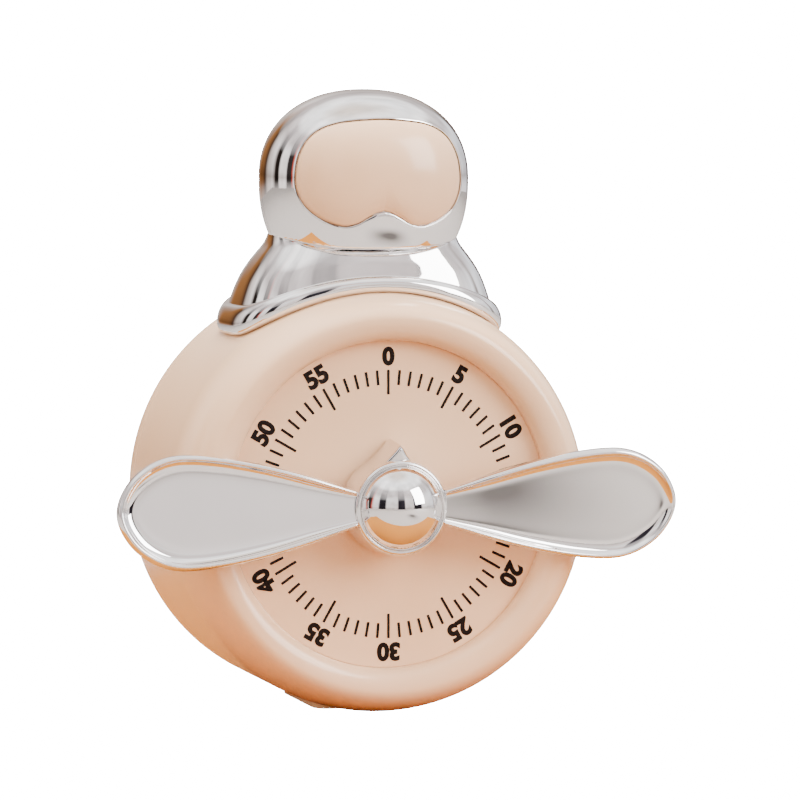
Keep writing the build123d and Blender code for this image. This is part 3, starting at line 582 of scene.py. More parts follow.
# ------------------------------------------------------------------ dial
@dataclass
class Dial:
    """The dial plate with its printed strokes, six to every five minutes, and the numbers of the long ones."""

    face: float = -18.6
    radius: float = 25.33
    strokes_round: int = 72
    numbered: int = 6  # every sixth stroke is long and numbered
    stroke_end: float = 20.8
    long_stroke: float = 3.8
    short_stroke: float = 2.3
    stroke_width: float = 0.4
    number_radius: float = 22.92
    number_height: float = 2.95
    number_weight: float = 0.05
    film: float = 0.03
    hole: float = 4.0
    thickness: float = 0.8

    def plate(self, finish: bpy.types.Material) -> bpy.types.Object:
        """Turns the flat dial plate with its centre hole and broken edges.

        Args:
            finish: the material it wears.

        Returns:
            The finished plate.
        """
        back = self.face + self.thickness
        profile = [
            (self.hole, back), (self.hole, self.face + 0.1), (self.hole + 0.1, self.face), (12.0, self.face),
            (20.0, self.face), (self.radius - 0.08, self.face), (self.radius, self.face + 0.06), (self.radius, back),
        ]
        plate = finish_mesh("dial_disc", lathe(profile, 160), finish, 30)
        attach(plate, HOUSING)
        return plate

    def place(self, stroke: float, radius: float) -> Matrix:
        """The matrix that sets a flat print, drawn upright round (0, 0), on the dial at a stroke's angle."""
        turn = 2 * math.pi * stroke / self.strokes_round
        return (
            Matrix.Translation((radius * math.sin(turn), self.face - self.film, AXIS_Z + radius * math.cos(turn)))
            @ Matrix.Rotation(turn, 4, "Y")
            @ Matrix.Rotation(math.pi / 2, 4, "X")
        )

    def strokes(self, finish: bpy.types.Material) -> bpy.types.Object:
        """Prints the strokes, with soft corners.

        Args:
            finish: the ink.

        Returns:
            The printed ring.
        """
        bm = bmesh.new()
        for stroke in range(self.strokes_round):
            length = self.short_stroke if stroke % self.numbered else self.long_stroke
            made = bmesh.ops.create_cube(bm, size=1.0)["verts"]
            bmesh.ops.scale(bm, vec=(self.stroke_width, length, 2 * self.film), verts=made)
            around = {e for v in made for e in v.link_edges}
            corners = [e for e in around if abs(e.verts[0].co.z - e.verts[1].co.z) > 0.01]
            rounded = bmesh.ops.bevel(
                bm, geom=corners, offset=0.06, offset_type="OFFSET", segments=2, profile=0.5, affect="EDGES",
                material=-1,
            )
            made = {v for v in made if v.is_valid} | set(rounded["verts"])
            bmesh.ops.transform(bm, matrix=self.place(stroke, self.stroke_end - length / 2), verts=list(made))
        ring = finish_mesh("minute_strokes", bm, finish, 30)
        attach(ring, HOUSING)
        return ring

    def numbers(self, finish: bpy.types.Material) -> bpy.types.Object:
        """Prints the numbers, with the top of each turned outwards.

        Args:
            finish: the ink.

        Returns:
            The printed numbers as one piece.
        """
        bm = bmesh.new()
        for stroke in range(0, self.strokes_round, self.numbered):
            drawn = bpy.data.curves.new("number", "FONT")
            drawn.body = str(5 * stroke // self.numbered)
            drawn.align_x = "CENTER"
            drawn.size = 1.0
            drawn.offset = self.number_weight
            drawn.extrude = 0.01
            drawn.resolution_u = 6
            text = bpy.data.objects.new("number", drawn)
            bpy.context.scene.collection.objects.link(text)
            mesh = bpy.data.meshes.new_from_object(text.evaluated_get(bpy.context.evaluated_depsgraph_get()))
            heights = [v.co.y for v in mesh.vertices]
            widths = [v.co.x for v in mesh.vertices]
            scale = self.number_height / (max(heights) - min(heights))
            centre = Vector(((max(widths) + min(widths)) / 2, (max(heights) + min(heights)) / 2, 0))
            mesh.transform(
                self.place(stroke, self.number_radius)
                @ Matrix.Diagonal((scale, scale, 2.0, 1))
                @ Matrix.Translation(-centre)
            )
            bm.from_mesh(mesh)
            bpy.data.objects.remove(text)
            bpy.data.meshes.remove(mesh)
            bpy.data.curves.remove(drawn)
        numbers = finish_mesh("minute_numbers", bm, finish, 30)
        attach(numbers, HOUSING)
        return numbers


# ------------------------------------------------------------------ helmet, visor and collar
@dataclass
class Helmet:
    """The helmet in two plated halves, its goggle visor, and the collar that saddles the drum."""

    centre: float = AXIS_Z + 50.1
    depth_centre: float = -3.5
    half_width: float = 16.35
    rear_depth: float = 10.8
    front_depth: float = 13.3
    crown: float = 14.0
    chin: float = 17.4
    crown_corner: float = 2.2
    chin_corner: float = 2.3
    depth_corner: float = 2.6
    rim: float = AXIS_Z + 39.5
    rim_rise: float = 2.0
    seam: float = 0.03
    gap: float = 0.13
    pillow: float = 0.75
    pocket: float = 1.3  # depth of the visor's pocket
    segments: int = 192
    visor_half: list = field(
        default_factory=lambda: [
            (-90, 5.0), (-76, 5.5), (-66, 6.6), (-58, 8.2), (-50, 9.5), (-41, 10.5), (-30, 11.65), (-18, 12.7),
            (-6, 13.2), (6, 13.25), (18, 13.2), (30, 12.85), (40, 12.15), (50, 11.2), (62, 10.15), (76, 9.45),
            (90, 9.25),
        ]
    )

    def outline(self, angle: float) -> float:
        """Distance from the helmet's centre to its silhouette, in a direction given in radians."""
        tall, n = (self.crown, self.crown_corner) if math.sin(angle) > 0 else (self.chin, self.chin_corner)
        return (abs(math.cos(angle) / self.half_width) ** n + abs(math.sin(angle) / tall) ** n) ** (-1 / n)

    def visor_edge(self, angle: float) -> float:
        """Distance from the helmet's centre to the visor's outline, in a direction given in radians."""
        elevation = math.degrees(math.asin(max(-1.0, min(1.0, math.sin(angle)))))
        return curve_through(self.visor_half, elevation)

    def point(self, angle: float, reach: float, lift: float = 0.0, back: bool = False) -> tuple[float, float, float]:
        """A point on the helmet's skin.

        Args:
            angle: direction round the depth axis, in radians.
            reach: distance from that axis, up to the silhouette.
            lift: how far the point stands off the skin along the depth axis.
            back: whether it is on the rear half.

        Returns:
            The point in millimetres.
        """
        share = min(1.0, reach / self.outline(angle))
        half_depth = self.rear_depth if back else self.front_depth
        deep = half_depth * (1 - share**self.depth_corner) ** (1 / self.depth_corner) + lift
        return (
            reach * math.cos(angle),
            self.depth_centre + (deep if back else -deep),
            self.centre + reach * math.sin(angle),
        )

    def ring(self, place: Callable[[float], tuple[float, float, float]]) -> Ring:
        """A closed ring of points, one for each direction round the depth axis."""
        return [place(2 * math.pi * k / self.segments) for k in range(self.segments)]

    def skin_rings(self, start: Callable[[float], float], back: bool, steps: int) -> list[Ring]:
        """Rings on the skin from a starting reach out to the silhouette, closer together as the skin turns.

        Args:
            start: the reach of the first ring, for each direction.
            back: whether the rings are on the rear half.
            steps: how many rings.

        Returns:
            The rings, the last on the silhouette.
        """
        rings = []
        for k in range(steps + 1):
            def place(angle: float, k: int = k) -> tuple[float, float, float]:
                """The point of ring k in a direction.

                Args:
                    angle: direction round the depth axis, in radians.
                    k: the ring's number.

                Returns:
                    The point in millimetres.
                """
                edge = self.outline(angle)
                low = math.asin(min(1.0, (start(angle) / edge) ** (self.depth_corner / 2)))
                turn = low + (math.pi / 2 - low) * k / steps
                return self.point(angle, edge * math.sin(turn) ** (2 / self.depth_corner), 0.0, back)

            rings.append(self.ring(place))
        return rings

    def trim(self, bm: bmesh.types.BMesh) -> None:
        """Cuts the helmet's lower rim, which is lowest at the chin and rises to the sides, and closes it.

        Args:
            bm: the helmet half to trim.
        """
        for vert in bm.verts:
            vert.co.z -= self.rise(vert.co.x)
        cut = bmesh.ops.bisect_plane(
            bm, geom=bm.verts[:] + bm.edges[:] + bm.faces[:], plane_co=(0, 0, self.rim), plane_no=(0, 0, 1),
            clear_inner=True,
        )
        edge = [g for g in cut["geom_cut"] if isinstance(g, bmesh.types.BMEdge)]
        for drop, shrink in ((-0.25, 0.985), (-0.3, 0.955), (0.4, 0.93)):
            grown = bmesh.ops.extrude_edge_only(bm, edges=edge)["geom"]
            edge = [g for g in grown if isinstance(g, bmesh.types.BMEdge)]
            moved = [g for g in grown if isinstance(g, bmesh.types.BMVert)]
            for vert in moved:
                vert.co.x *= shrink
                vert.co.y = self.depth_centre + (vert.co.y - self.depth_centre) * shrink
                vert.co.z = self.rim + drop
        bmesh.ops.holes_fill(bm, edges=edge, sides=0)
        for vert in bm.verts:
            vert.co.z += self.rise(vert.co.x)

    def rise(self, x: float) -> float:
        """How far the lower rim has risen at a distance x from the middle."""
        return self.rim_rise * min(1.0, abs(x) / 15.4) ** 3

    def half(self, name: str, back: bool, finish: bpy.types.Material) -> bpy.types.Object:
        """Makes one half of the helmet; the front half carries the visor's pocket.

        Args:
            name: the piece's name.
            back: whether it is the rear half.
            finish: the material it wears.

        Returns:
            The finished half.
        """
        if back:
            rings = [self.ring(lambda a: self.point(a, self.outline(a) * 0.12, 0, True))]
            rings += self.skin_rings(lambda a: self.outline(a) * 0.2, True, 40)
        else:
            edge = self.visor_edge
            rings = [
                self.ring(lambda a: self.point(a, edge(a) * 0.15, -self.pocket)),
                self.ring(lambda a: self.point(a, edge(a) * 0.6, -self.pocket)),
                self.ring(lambda a: self.point(a, edge(a) + self.gap / 2, -self.pocket)),
                self.ring(lambda a: self.point(a, edge(a) + self.gap / 2, -0.5)),
                self.ring(lambda a: self.point(a, edge(a) + self.gap / 2, -0.16)),
                self.ring(lambda a: self.point(a, edge(a) + self.gap / 2 + 0.06, -0.05)),
            ]
            rings += self.skin_rings(lambda a: edge(a) + self.gap / 2 + 0.18, False, 40)
        seam = -self.seam if not back else self.seam
        parting = [(x, self.depth_centre + seam, z) for x, _, z in rings[-1]]
        rings[-1] = parting
        rings.append([(x * 0.97, y, self.centre + (z - self.centre) * 0.97) for x, y, z in parting])
        bm = loft(rings, cap_start=True, cap_end=True)
        self.trim(bm)
        half = finish_mesh(name, bm, finish, 50)
        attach(half, HOUSING)
        return half

    def visor(self, finish: bpy.types.Material) -> bpy.types.Object:
        """Makes the visor: a pillowed goggle with a rounded edge, let into the helmet with a fine gap.

        Args:
            finish: the material it wears.

        Returns:
            The finished visor.
        """
        def edge(angle: float) -> float:
            """The visor's own outline, half a gap inside its pocket."""
            return self.visor_edge(angle) - self.gap / 2

        rings = [self.ring(lambda a: self.point(a, edge(a) * 0.3, -1.2))]
        rings.append(self.ring(lambda a: self.point(a, edge(a) - 0.3, -1.2)))
        rings.append(self.ring(lambda a: self.point(a, edge(a), -1.0)))
        round_over = 0.55
        for k in range(6):
            turn = math.radians(90 * k / 5)
            inset, height = round_over * (1 - math.cos(turn)), round_over * (math.sin(turn) - 1)
            rings.append(self.ring(lambda a, i=inset, h=height: self.point(a, edge(a) - i, h)))
        for k in range(1, 30):
            share = 1 - k / 30
            height = self.pillow * (1 - share**2) ** 0.8
            rings.append(
                self.ring(lambda a, s=share, h=height: self.point(a, (edge(a) - round_over) * s, h))
            )
        bm = loft(rings, cap_start=True)
        pole = bm.verts.new(self.point(0, 0, self.pillow))
        last = [e for e in bm.edges if e.is_boundary]
        for rim_edge in last:
            bm.faces.new((rim_edge.verts[0], rim_edge.verts[1], pole))
        visor = finish_mesh("goggle_visor", bm, finish, 60)
        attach(visor, HOUSING)
        return visor


@dataclass
class Collar:
    """The plated saddle on the drum: a rolled edge, and a skirt that rises to the helmet's neck."""

    drum: Drum
    crown: float = 35.2
    spread: float = 40.0
    half_width: float = 21.75
    half_depth: float = 15.2
    middle: float = -1.2
    neck_middle: float = -2.9
    corner: float = 3.6
    neck_corner: float = 2.8
    roll: float = 1.4
    roll_start: float = -72.0  # where the rolled edge starts, below the horizontal
    roll_turn: float = 222.0
    neck: float = AXIS_Z + 41.4
    segments: int = 256
    skirt: list = field(
        default_factory=lambda: [
            (0.0, 20.25, 13.6), (0.12, 19.95, 13.1), (0.26, 19.4, 12.55), (0.40, 18.7, 12.0), (0.54, 17.75, 11.4),
            (0.68, 16.6, 10.8), (0.82, 15.45, 10.25), (0.92, 14.95, 9.95), (1.0, 14.75, 9.8),
        ]
    )

    def top(self, x: float) -> float:
        """Height of the saddle's upper arch at x."""
        return AXIS_Z + self.crown * math.sqrt(max(0.0, 1 - (x / self.spread) ** 2))

    def bottom(self, x: float, y: float) -> float:
        """Height of the drum's surface at (x, y), which falls away at the drum's front shoulder."""
        reach = self.drum.radius_at(y)
        return AXIS_Z + math.sqrt(max(0.0, reach * reach - x * x))

    def ring(
        self, wide: float, deep: float, height: Callable[[float, float], float], share: float = 0.0
    ) -> Ring:
        """A ring with a rounded, nearly square plan, whose height depends on (x, y).

        Args:
            wide: half-width.
            deep: half-depth.
            height: gives the height at (x, y).
            share: 0 at the saddle and 1 at the neck, where the plan is rounder and lies further forward.

        Returns:
            The ring's points.
        """
        power = 2 / (self.corner + (self.neck_corner - self.corner) * share)
        middle = self.middle + (self.neck_middle - self.middle) * share
        points = []
        for k in range(self.segments):
            turn = 2 * math.pi * k / self.segments
            across, along = math.cos(turn), math.sin(turn)
            x = wide * math.copysign(abs(across) ** power, across)
            y = middle + deep * math.copysign(abs(along) ** power, along)
            points.append((x, y, height(x, y)))
        return points

    def build(self, finish: bpy.types.Material) -> bpy.types.Object:
        """Makes the collar.

        Args:
            finish: the material it wears.

        Returns:
            The finished collar.
        """
        def seat(x: float, y: float) -> float:
            """Height of the underside, a hair above the drum."""
            return self.bottom(x, y) + 0.04

        rings = [
            self.ring(self.half_width - 4, self.half_depth - 4, seat),
            self.ring(self.half_width - 1.6, self.half_depth - 1.6, seat),
        ]
        foot_lift = 0.0
        for k in range(19):
            turn = math.radians(self.roll_start + self.roll_turn * k / 18)
            offset, lift = self.roll * math.cos(turn), 0.5 + 0.5 * math.sin(turn)
            foot_lift = lift

            def height(x: float, y: float, lift: float = lift) -> float:
                """Height of the rolled edge, a share of the way up the arch."""
                low = self.bottom(x, y)
                return low + (self.top(x) - low) * lift

            rings.append(
                self.ring(self.half_width - self.roll + offset, self.half_depth - self.roll + offset, height)
            )
        steps = 32
        for k in range(1, steps + 1):
            t = k / steps
            wide = curve_through([(s, w) for s, w, _ in self.skirt], t)
            deep = curve_through([(s, d) for s, _, d in self.skirt], t)

            def climb(x: float, y: float, t: float = t) -> float:
                """Height of the skirt at (x, y).

                Args:
                    x: distance to the side.
                    y: depth.
                    t: share of the way from the rolled edge to the neck.

                Returns:
                    The height in millimetres.
                """
                low = self.bottom(x, y)
                foot = low + (self.top(x) - low) * foot_lift
                return foot + (self.neck - foot) * t

            rings.append(self.ring(wide, deep, climb, t))
        bm = loft(rings, cap_start=True, cap_end=True)
        collar = finish_mesh("saddle_collar", bm, finish, 45)
        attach(collar, HOUSING)
        return collar


# ------------------------------------------------------------------ propeller knob
@dataclass
class Propeller:
    """The winding knob: two dished blades on a hub ring, a round nose, and a collar with a pointer."""

    root: float = 6.9
    middle: float = -25.6
    pitch: float = 8.0
    tip_from: float = 33.0
    hub: float = 7.4
    nose: float = 6.45
    nose_rise: float = 4.19
    nose_seat: float = -26.4
    pointer_back: float = -18.9
    pointer_front: float = -24.3
    widths: list = field(
        default_factory=lambda: [
            (5.0, 2.35), (7.0, 2.75), (10, 3.75), (14, 5.15), (20, 6.8), (26, 8.05), (30, 8.6), (33, 8.8), (36, 8.6),
        ]
    )
    tip: list = field(
        default_factory=lambda: [
            (-24.0, 10.7), (0.0, 11.4), (24.0, 10.7), (48.0, 9.75), (70.0, 9.12), (90.0, 8.8), (110.0, 8.78),
        ]
    )
    count: int = 160

    def edge_points(self) -> list[tuple[float, float]]:
        """Draws the blade's outline.

        Returns:
            Evenly spaced points from the upper end of the root, round the tip and back.
        """
        steps = 300
        upper = []
        for k in range(steps + 1):
            x = self.root + (self.tip_from - self.root) * k / steps
            upper.append((x, curve_through(self.widths, x)))
        for k in range(1, steps + 1):
            angle = 90 - 90 * k / steps
            reach = curve_through(self.tip, angle)
            upper.append(
                (self.tip_from + reach * math.cos(math.radians(angle)), reach * math.sin(math.radians(angle)))
            )
        whole = upper + [(x, -z) for x, z in reversed(upper[:-1])]
        lengths = [0.0]
        for (xa, za), (xb, zb) in zip(whole, whole[1:]):
            lengths.append(lengths[-1] + math.hypot(xb - xa, zb - za))
        points, i = [], 0
        for k in range(self.count):
            goal = lengths[-1] * k / (self.count - 1)
            while i < len(whole) - 2 and lengths[i + 1] < goal:
                i += 1
            share = (goal - lengths[i]) / max(1e-9, lengths[i + 1] - lengths[i])
            points.append(tuple(a + (b - a) * share for a, b in zip(whole[i], whole[i + 1])))
        return points

    def blade_rings(self) -> list[Ring]:
        """Lays out the rings of one blade, lying flat along +X with its face to -Y.

        Returns:
            The rings, from the dish's spine over the rim to the back's spine.
        """
        edge = self.edge_points()
        count = len(edge)
        normals = []
        for k in range(count):
            (xa, za), (xb, zb) = edge[max(0, k - 1)], edge[min(count - 1, k + 1)]
            length = math.hypot(xb - xa, zb - za)
            normals.append(((zb - za) / length, -(xb - xa) / length))
        spine = [(self.root + (x - self.root) * (1 - 0.22 * smoothstep(18, 44, x)), 0.0) for x, _ in edge]
        thin = [0.5 + 0.5 * smoothstep(self.root - 1, 15, x) for x, _ in edge]

        def inset(distance: float) -> list[tuple[float, float]]:
            """The outline drawn in by a distance, less so near the root."""
            return [
                (max(self.root, x + nx * distance * t), z + nz * distance * t)
                for (x, z), (nx, nz), t in zip(edge, normals, thin)
            ]

        def shrink(start: list[tuple[float, float]], share: float) -> list[tuple[float, float]]:
            """A ring drawn a share of the way in to the blade's spine."""
            return [(x + (sx - x) * share, z + (sz - z) * share) for (x, z), (sx, sz) in zip(start, spine)]

        crest, lip, floor, back = -1.3, -1.0, -0.2, 1.45
        brim = inset(1.0)
        rings = []
        for share in (1.0, 0.94, 0.87, 0.79, 0.7, 0.61, 0.52, 0.43, 0.35, 0.28, 0.22, 0.165, 0.12, 0.08, 0.045, 0.018):
            rings.append((shrink(brim, share), floor + (lip - floor) * (1 - share) ** 12))
        for distance, y in ((1.0, lip), (0.92, lip - 0.09), (0.8, crest + 0.06), (0.66, crest)):
            rings.append((inset(distance), y))
        for k in range(1, 11):
            turn = math.radians(90 - 180 * k / 10)
            tall = -crest if turn > 0 else back * 0.6
            rings.append((inset(0.62 * (1 - math.cos(turn))), -tall * math.sin(turn)))
        shoulder = inset(0.62)
        for share in (0.06, 0.14, 0.24, 0.36, 0.5, 0.66, 0.83, 1.0):
            rings.append((shrink(shoulder, share), back * (0.6 + 0.4 * (1 - (1 - share) ** 2))))
        return [[(x, y * t, z) for (x, z), t in zip(ring, thin)] for ring, y in rings]

    def blades(self, finish: bpy.types.Material) -> bpy.types.Object:
        """Makes both blades and the hub ring that joins them.

        Args:
            finish: the material they wear.

        Returns:
            The finished propeller.
        """
        whole = bmesh.new()
        for turn in (0, 180):
            bm = loft(self.blade_rings())
            bmesh.ops.remove_doubles(bm, verts=bm.verts, dist=1e-4)
            bmesh.ops.recalc_face_normals(bm, faces=bm.faces)
            bmesh.ops.transform(
                bm,
                matrix=Matrix.Translation((0, self.middle, AXIS_Z))
                @ Matrix.Rotation(math.radians(turn), 4, "Y")
                @ Matrix.Rotation(math.radians(self.pitch), 4, "X"),
                verts=bm.verts,
            )
            part = bpy.data.meshes.new("blade")
            bm.to_mesh(part)
            bm.free()
            whole.from_mesh(part)
            bpy.data.meshes.remove(part)
        ring = lathe(
            [(1.6, -24.3), (6.6, -24.3)]
            + arc((self.hub - 0.6, -25.4), (0.6, 1.1), 70, -90, 16)
            + arc((self.hub - 0.6, -26.2), (0.35, 0.3), -90, -180, 4)
            + [(self.hub - 1.0, -25.8), (1.6, -25.8)],
            160,
        )
        part = bpy.data.meshes.new("hub")
        ring.to_mesh(part)
        ring.free()
        whole.from_mesh(part)
        bpy.data.meshes.remove(part)
        blades = finish_mesh("propeller_blades", whole, finish, 55)
        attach(blades, KNOB)
        return blades

    def nose_cap(self, finish: bpy.types.Material) -> bpy.types.Object:
        """Turns the round nose.

        Args:
            finish: the material it wears.

        Returns:
            The finished nose.
        """
        bend = (self.nose**2 + self.nose_rise**2) / (2 * self.nose_rise)
        reach = math.degrees(math.asin(self.nose / bend))
        front = arc((0, self.nose_seat - self.nose_rise + bend), (bend, bend), -90, reach - 90, 44)
        profile = front + [(self.nose, self.nose_seat + 0.4), (0, self.nose_seat + 0.4)]
        nose = finish_mesh("round_nose", lathe(profile, 128), finish, 50)
        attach(nose, KNOB)
        return nose

    def pointer(self, finish: bpy.types.Material) -> bpy.types.Object:
        """Makes the collar behind the hub, whose pointer runs out in hollow flanks to a narrow tip.

        Args:
            finish: the material it wears.

        Returns:
            The finished collar.
        """
        segments = 240

        def section(base: float, tip: float, half: float, y: float, lean: float) -> Ring:
            """A section of the collar across the arbor.

            Args:
                base: radius of its round part.
                tip: reach of the pointer.
                half: half the pointer's angle, in degrees.
                y: depth.
                lean: how far the pointer's tip leans forward.

            Returns:
                The section's points.
            """
            ring = []
            for k in range(segments):
                turn = 2 * math.pi * k / segments
                away = abs((math.degrees(turn) - 90 + 180) % 360 - 180)
                share = max(0.0, 1 - away / half)
                swell = share**2.1 if share < 0.92 else 0.92**2.1 + (share - 0.92) * 1.3
                reach = base + (tip - base) * min(1.0, swell)
                ring.append((reach * math.cos(turn), y - lean * swell, AXIS_Z + reach * math.sin(turn)))
            return ring

        back, front = self.pointer_back, self.pointer_front
        rings = [
            section(7.5, 10.2, 30, back, 0),
            section(7.7, 10.4, 30, back - 0.3, 0),
        ]
        for k in range(1, 13):
            t = k / 12
            rings.append(
                section(7.7 - 0.75 * t**1.6, 10.4 - 0.6 * t, 30 - 4 * t, back - 0.3 + (front + 0.3 - back) * t, 1.5 * t)
            )
        rings.append(section(6.85, 9.6, 26, front - 0.12, 1.62))
        rings.append(section(6.3, 8.9, 26, front - 0.12, 1.62))
        bm = loft(rings, cap_start=True, cap_end=True)
        pointer = finish_mesh("pointer_ring", bm, finish, 50)
        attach(pointer, KNOB)
        return pointer


# ------------------------------------------------------------------ movement, kept from the CAD
@dataclass
class Movement:
    """The spring movement: CAD nodes that keep their shape and get their finishes here."""

    brass: tuple = (
        "front_plate", "back_plate", "main_wheel", "second_wheel", "third_wheel", "fourth_wheel", "escape_wheel",
        "anchor", "stop_cam",
    )
    steel: tuple = (
        "main_arbor", "stop_pin", "second_arbor", "third_arbor", "fourth_arbor", "escape_arbor", "pallet_arbor",
        "hammer_arbor", "pillars", "spring_post", "bell_post", "bell", "hammer_arm",
    )
    blued: tuple = ("mainspring", "hammer_spring")
    zinc: tuple = ("cover_screws", "collar_screws", "knob_screw", "movement_screws", "pillar_nuts", "bell_nut")

    def dress(self, finishes: dict[str, bpy.types.Material]) -> None:
        """Gives each node its finish.

        Args:
            finishes: the materials by group name.
        """
        for group in ("brass", "steel", "blued", "zinc"):
            for name in getattr(self, group):
                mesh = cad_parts[name].data
                mesh.materials.clear()
                mesh.materials.append(finishes[group])
                log.info("dressed %s in %s", name, finishes[group].name)


# ------------------------------------------------------------------ studio
@dataclass
class Studio:
    """A pale floor, soft lights and the camera."""

    azimuth: float = -15.5
    elevation: float = 5.0
    distance: float = 700.0
    dial: tuple = (0.0, -18.6, AXIS_Z)
    aim: tuple = (1.8, 16.1)
    field_mm: float = 123.65
    room_light: float = 1.35
    mirror_gain: float = 2.1  # how much brighter gloss sees the room than matt surfaces do
    backdrop: float = 40.0  # bright enough to show as plain white
    floor_glow: float = 30.0
    soft_sky: tuple = (
        (0.0, "#9A5E22"), (0.38, "#B07A3C"), (0.5, "#DAC2A4"), (0.62, "#EDE8E2"), (0.8, "#FFFEFC"), (1.0, "#FFFFFF"),
    )
    mirror_sky: tuple = (
        (0.0, "#B98148"), (0.30, "#C99A62"), (0.44, "#CFC6C0"), (0.485, "#DAD3D0"), (0.5, "#A8A09C"),
        (0.53, "#CFC9C6"), (0.60, "#D6D1CF"), (0.68, "#E9E6E5"), (0.76, "#BDB5B4"), (0.84, "#C6BFBE"),
        (0.88, "#F6F4F3"), (0.95, "#FFFFFF"), (1.0, "#CFC3B8"),
    )
    mirror_walls: tuple = (
        (0.0, "#B9AFA8"), (0.03, "#8A5F38"), (0.06, "#3A2A20"), (0.085, "#C9C1BC"), (0.12, "#E6E2E0"),
        (0.145, "#231D1A"), (0.17, "#151211"), (0.182, "#F2EFEE"), (0.225, "#FFFFFF"), (0.235, "#2A2626"),
        (0.262, "#33302F"), (0.268, "#C7402C"), (0.285, "#F4F2F1"), (0.32, "#FFFFFF"), (0.332, "#26242A"),
        (0.375, "#1F1D22"), (0.385, "#F4F2F1"), (0.46, "#F0EDEC"), (0.467, "#232127"), (0.512, "#2B2930"),
        (0.519, "#E6E1DF"), (0.575, "#ECE8E6"), (0.582, "#1F1D22"), (0.635, "#26242A"), (0.645, "#FFFFFF"),
        (0.74, "#EFF4FA"), (0.765, "#6F6560"), (0.79, "#E8EDF3"), (0.87, "#DDE3EA"), (0.895, "#2A2522"),
        (0.92, "#8C8078"), (1.0, "#C9C1BC"),
    )
    wall_share: tuple = (
        (0.0, "#000000"), (0.42, "#202020"), (0.49, "#FFFFFF"), (0.66, "#FFFFFF"), (0.8, "#9A9A9A"), (1.0, "#101010"),
    )
    cards: tuple = (
        ("warm_board", (200, 170), (0, 22, -0.06), "#C27A22", 0.0),
        ("grey_surround", (2400, 2400), (0, 0, -0.07), "#B9B1AC", 0.0),
    )
    shade: tuple = ((44, -126), (40, 68), "#4A433F")  # a soft dark patch on the surround: middle, radii, colour
    lamps: tuple = (
        ("key_right", (420, 560), (560, -560, 420), 10.5, "#FFFFFF", True),
        ("top_soft", (900, 700), (-60, 60, 900), 24.0, "#FFFDFA", False),
        ("fill_left", (500, 600), (-700, -480, 320), 3.2, "#FFE4C4", False),
        ("low_warm", (360, 160), (30, -330, 12), 0.25, "#FFB468", False),
    )

    def camera(self) -> None:
        """Sets the camera at the dial's eye line, aimed a little above it."""
        a, e = math.radians(self.azimuth), math.radians(self.elevation)
        back = Vector((math.sin(a) * math.cos(e), -math.cos(a) * math.cos(e), math.sin(e)))
        right = Vector((math.cos(a), math.sin(a), 0))
        up = back.cross(right)
        place = Vector(self.dial) + back * self.distance
        target = Vector(self.dial) + right * self.aim[0] + up * self.aim[1]
        data = bpy.data.cameras.new("camera")
        data.sensor_width = 36
        data.lens = 36 * self.distance / self.field_mm
        data.clip_start = 0.01
        camera = bpy.data.objects.new("camera", data)
        camera.location = place * MM
        camera.rotation_euler = (target - place).to_track_quat("-Z", "Y").to_euler()
        bpy.context.scene.collection.objects.link(camera)
        bpy.context.scene.camera = camera

    def card(self, name: str, size: tuple, place: tuple, colour: str, glow: float) -> bpy.types.Object:
        """Makes a flat stage card.

        Args:
            name: the card's name.
            size: width and height in millimetres.
            place: its middle.
            colour: its sRGB hex colour.
            glow: how much light of its own it gives.

        Returns:
            The card.
        """
        bm = bmesh.new()
        bmesh.ops.create_grid(bm, x_segments=1, y_segments=1, size=0.5)
        bmesh.ops.scale(bm, vec=(size[0] * MM, size[1] * MM, 1), verts=bm.verts)
        mesh = bpy.data.meshes.new(name)
        bm.to_mesh(mesh)
        bm.free()
        card = bpy.data.objects.new(name, mesh)
        card.location = Vector(place) * MM
        material = bpy.data.materials.new(name)
        material.use_nodes = True
        tree = material.node_tree
        tree.nodes.clear()
        shader = add_node(
            tree, "ShaderNodeBsdfPrincipled",
            inputs={
                "Base Color": linear(colour), "Roughness": 0.8,
                "Emission Color": linear(colour), "Emission Strength": glow,
            },
        )
        add_node(tree, "ShaderNodeOutputMaterial", inputs={"Surface": shader.outputs["BSDF"]})
        mesh.materials.append(material)
        bpy.context.scene.collection.objects.link(card)
        return card

    def shade_card(self, card: bpy.types.Object) -> None:
        """Darkens a soft-edged patch of a card, which the chrome mirrors.

        Args:
            card: the card to darken.
        """
        (x, y), (wide, deep), colour = self.shade
        tree = card.data.materials[0].node_tree
        shader = next(n for n in tree.nodes if n.type == "BSDF_PRINCIPLED")
        place = add_node(tree, "ShaderNodeTexCoord")
        centred = add_node(
            tree, "ShaderNodeMapping", {"vector_type": "TEXTURE"},
            {"Vector": place.outputs["Object"], "Location": (x * MM, y * MM, 0), "Scale": (wide * MM, deep * MM, 1)},
        )
        fall = add_node(tree, "ShaderNodeTexGradient", {"gradient_type": "QUADRATIC_SPHERE"},
                        {"Vector": centred.outputs["Vector"]})
        edge = add_node(tree, "ShaderNodeMapRange", inputs={"Value": fall.outputs["Fac"], "From Max": 0.7})
        tint = add_node(
            tree, "ShaderNodeMix", {"data_type": "RGBA"},
            {0: edge.outputs["Result"], 6: shader.inputs["Base Color"].default_value[:], 7: linear(colour)},
        )
        tree.links.new(tint.outputs[2], shader.inputs["Base Color"])

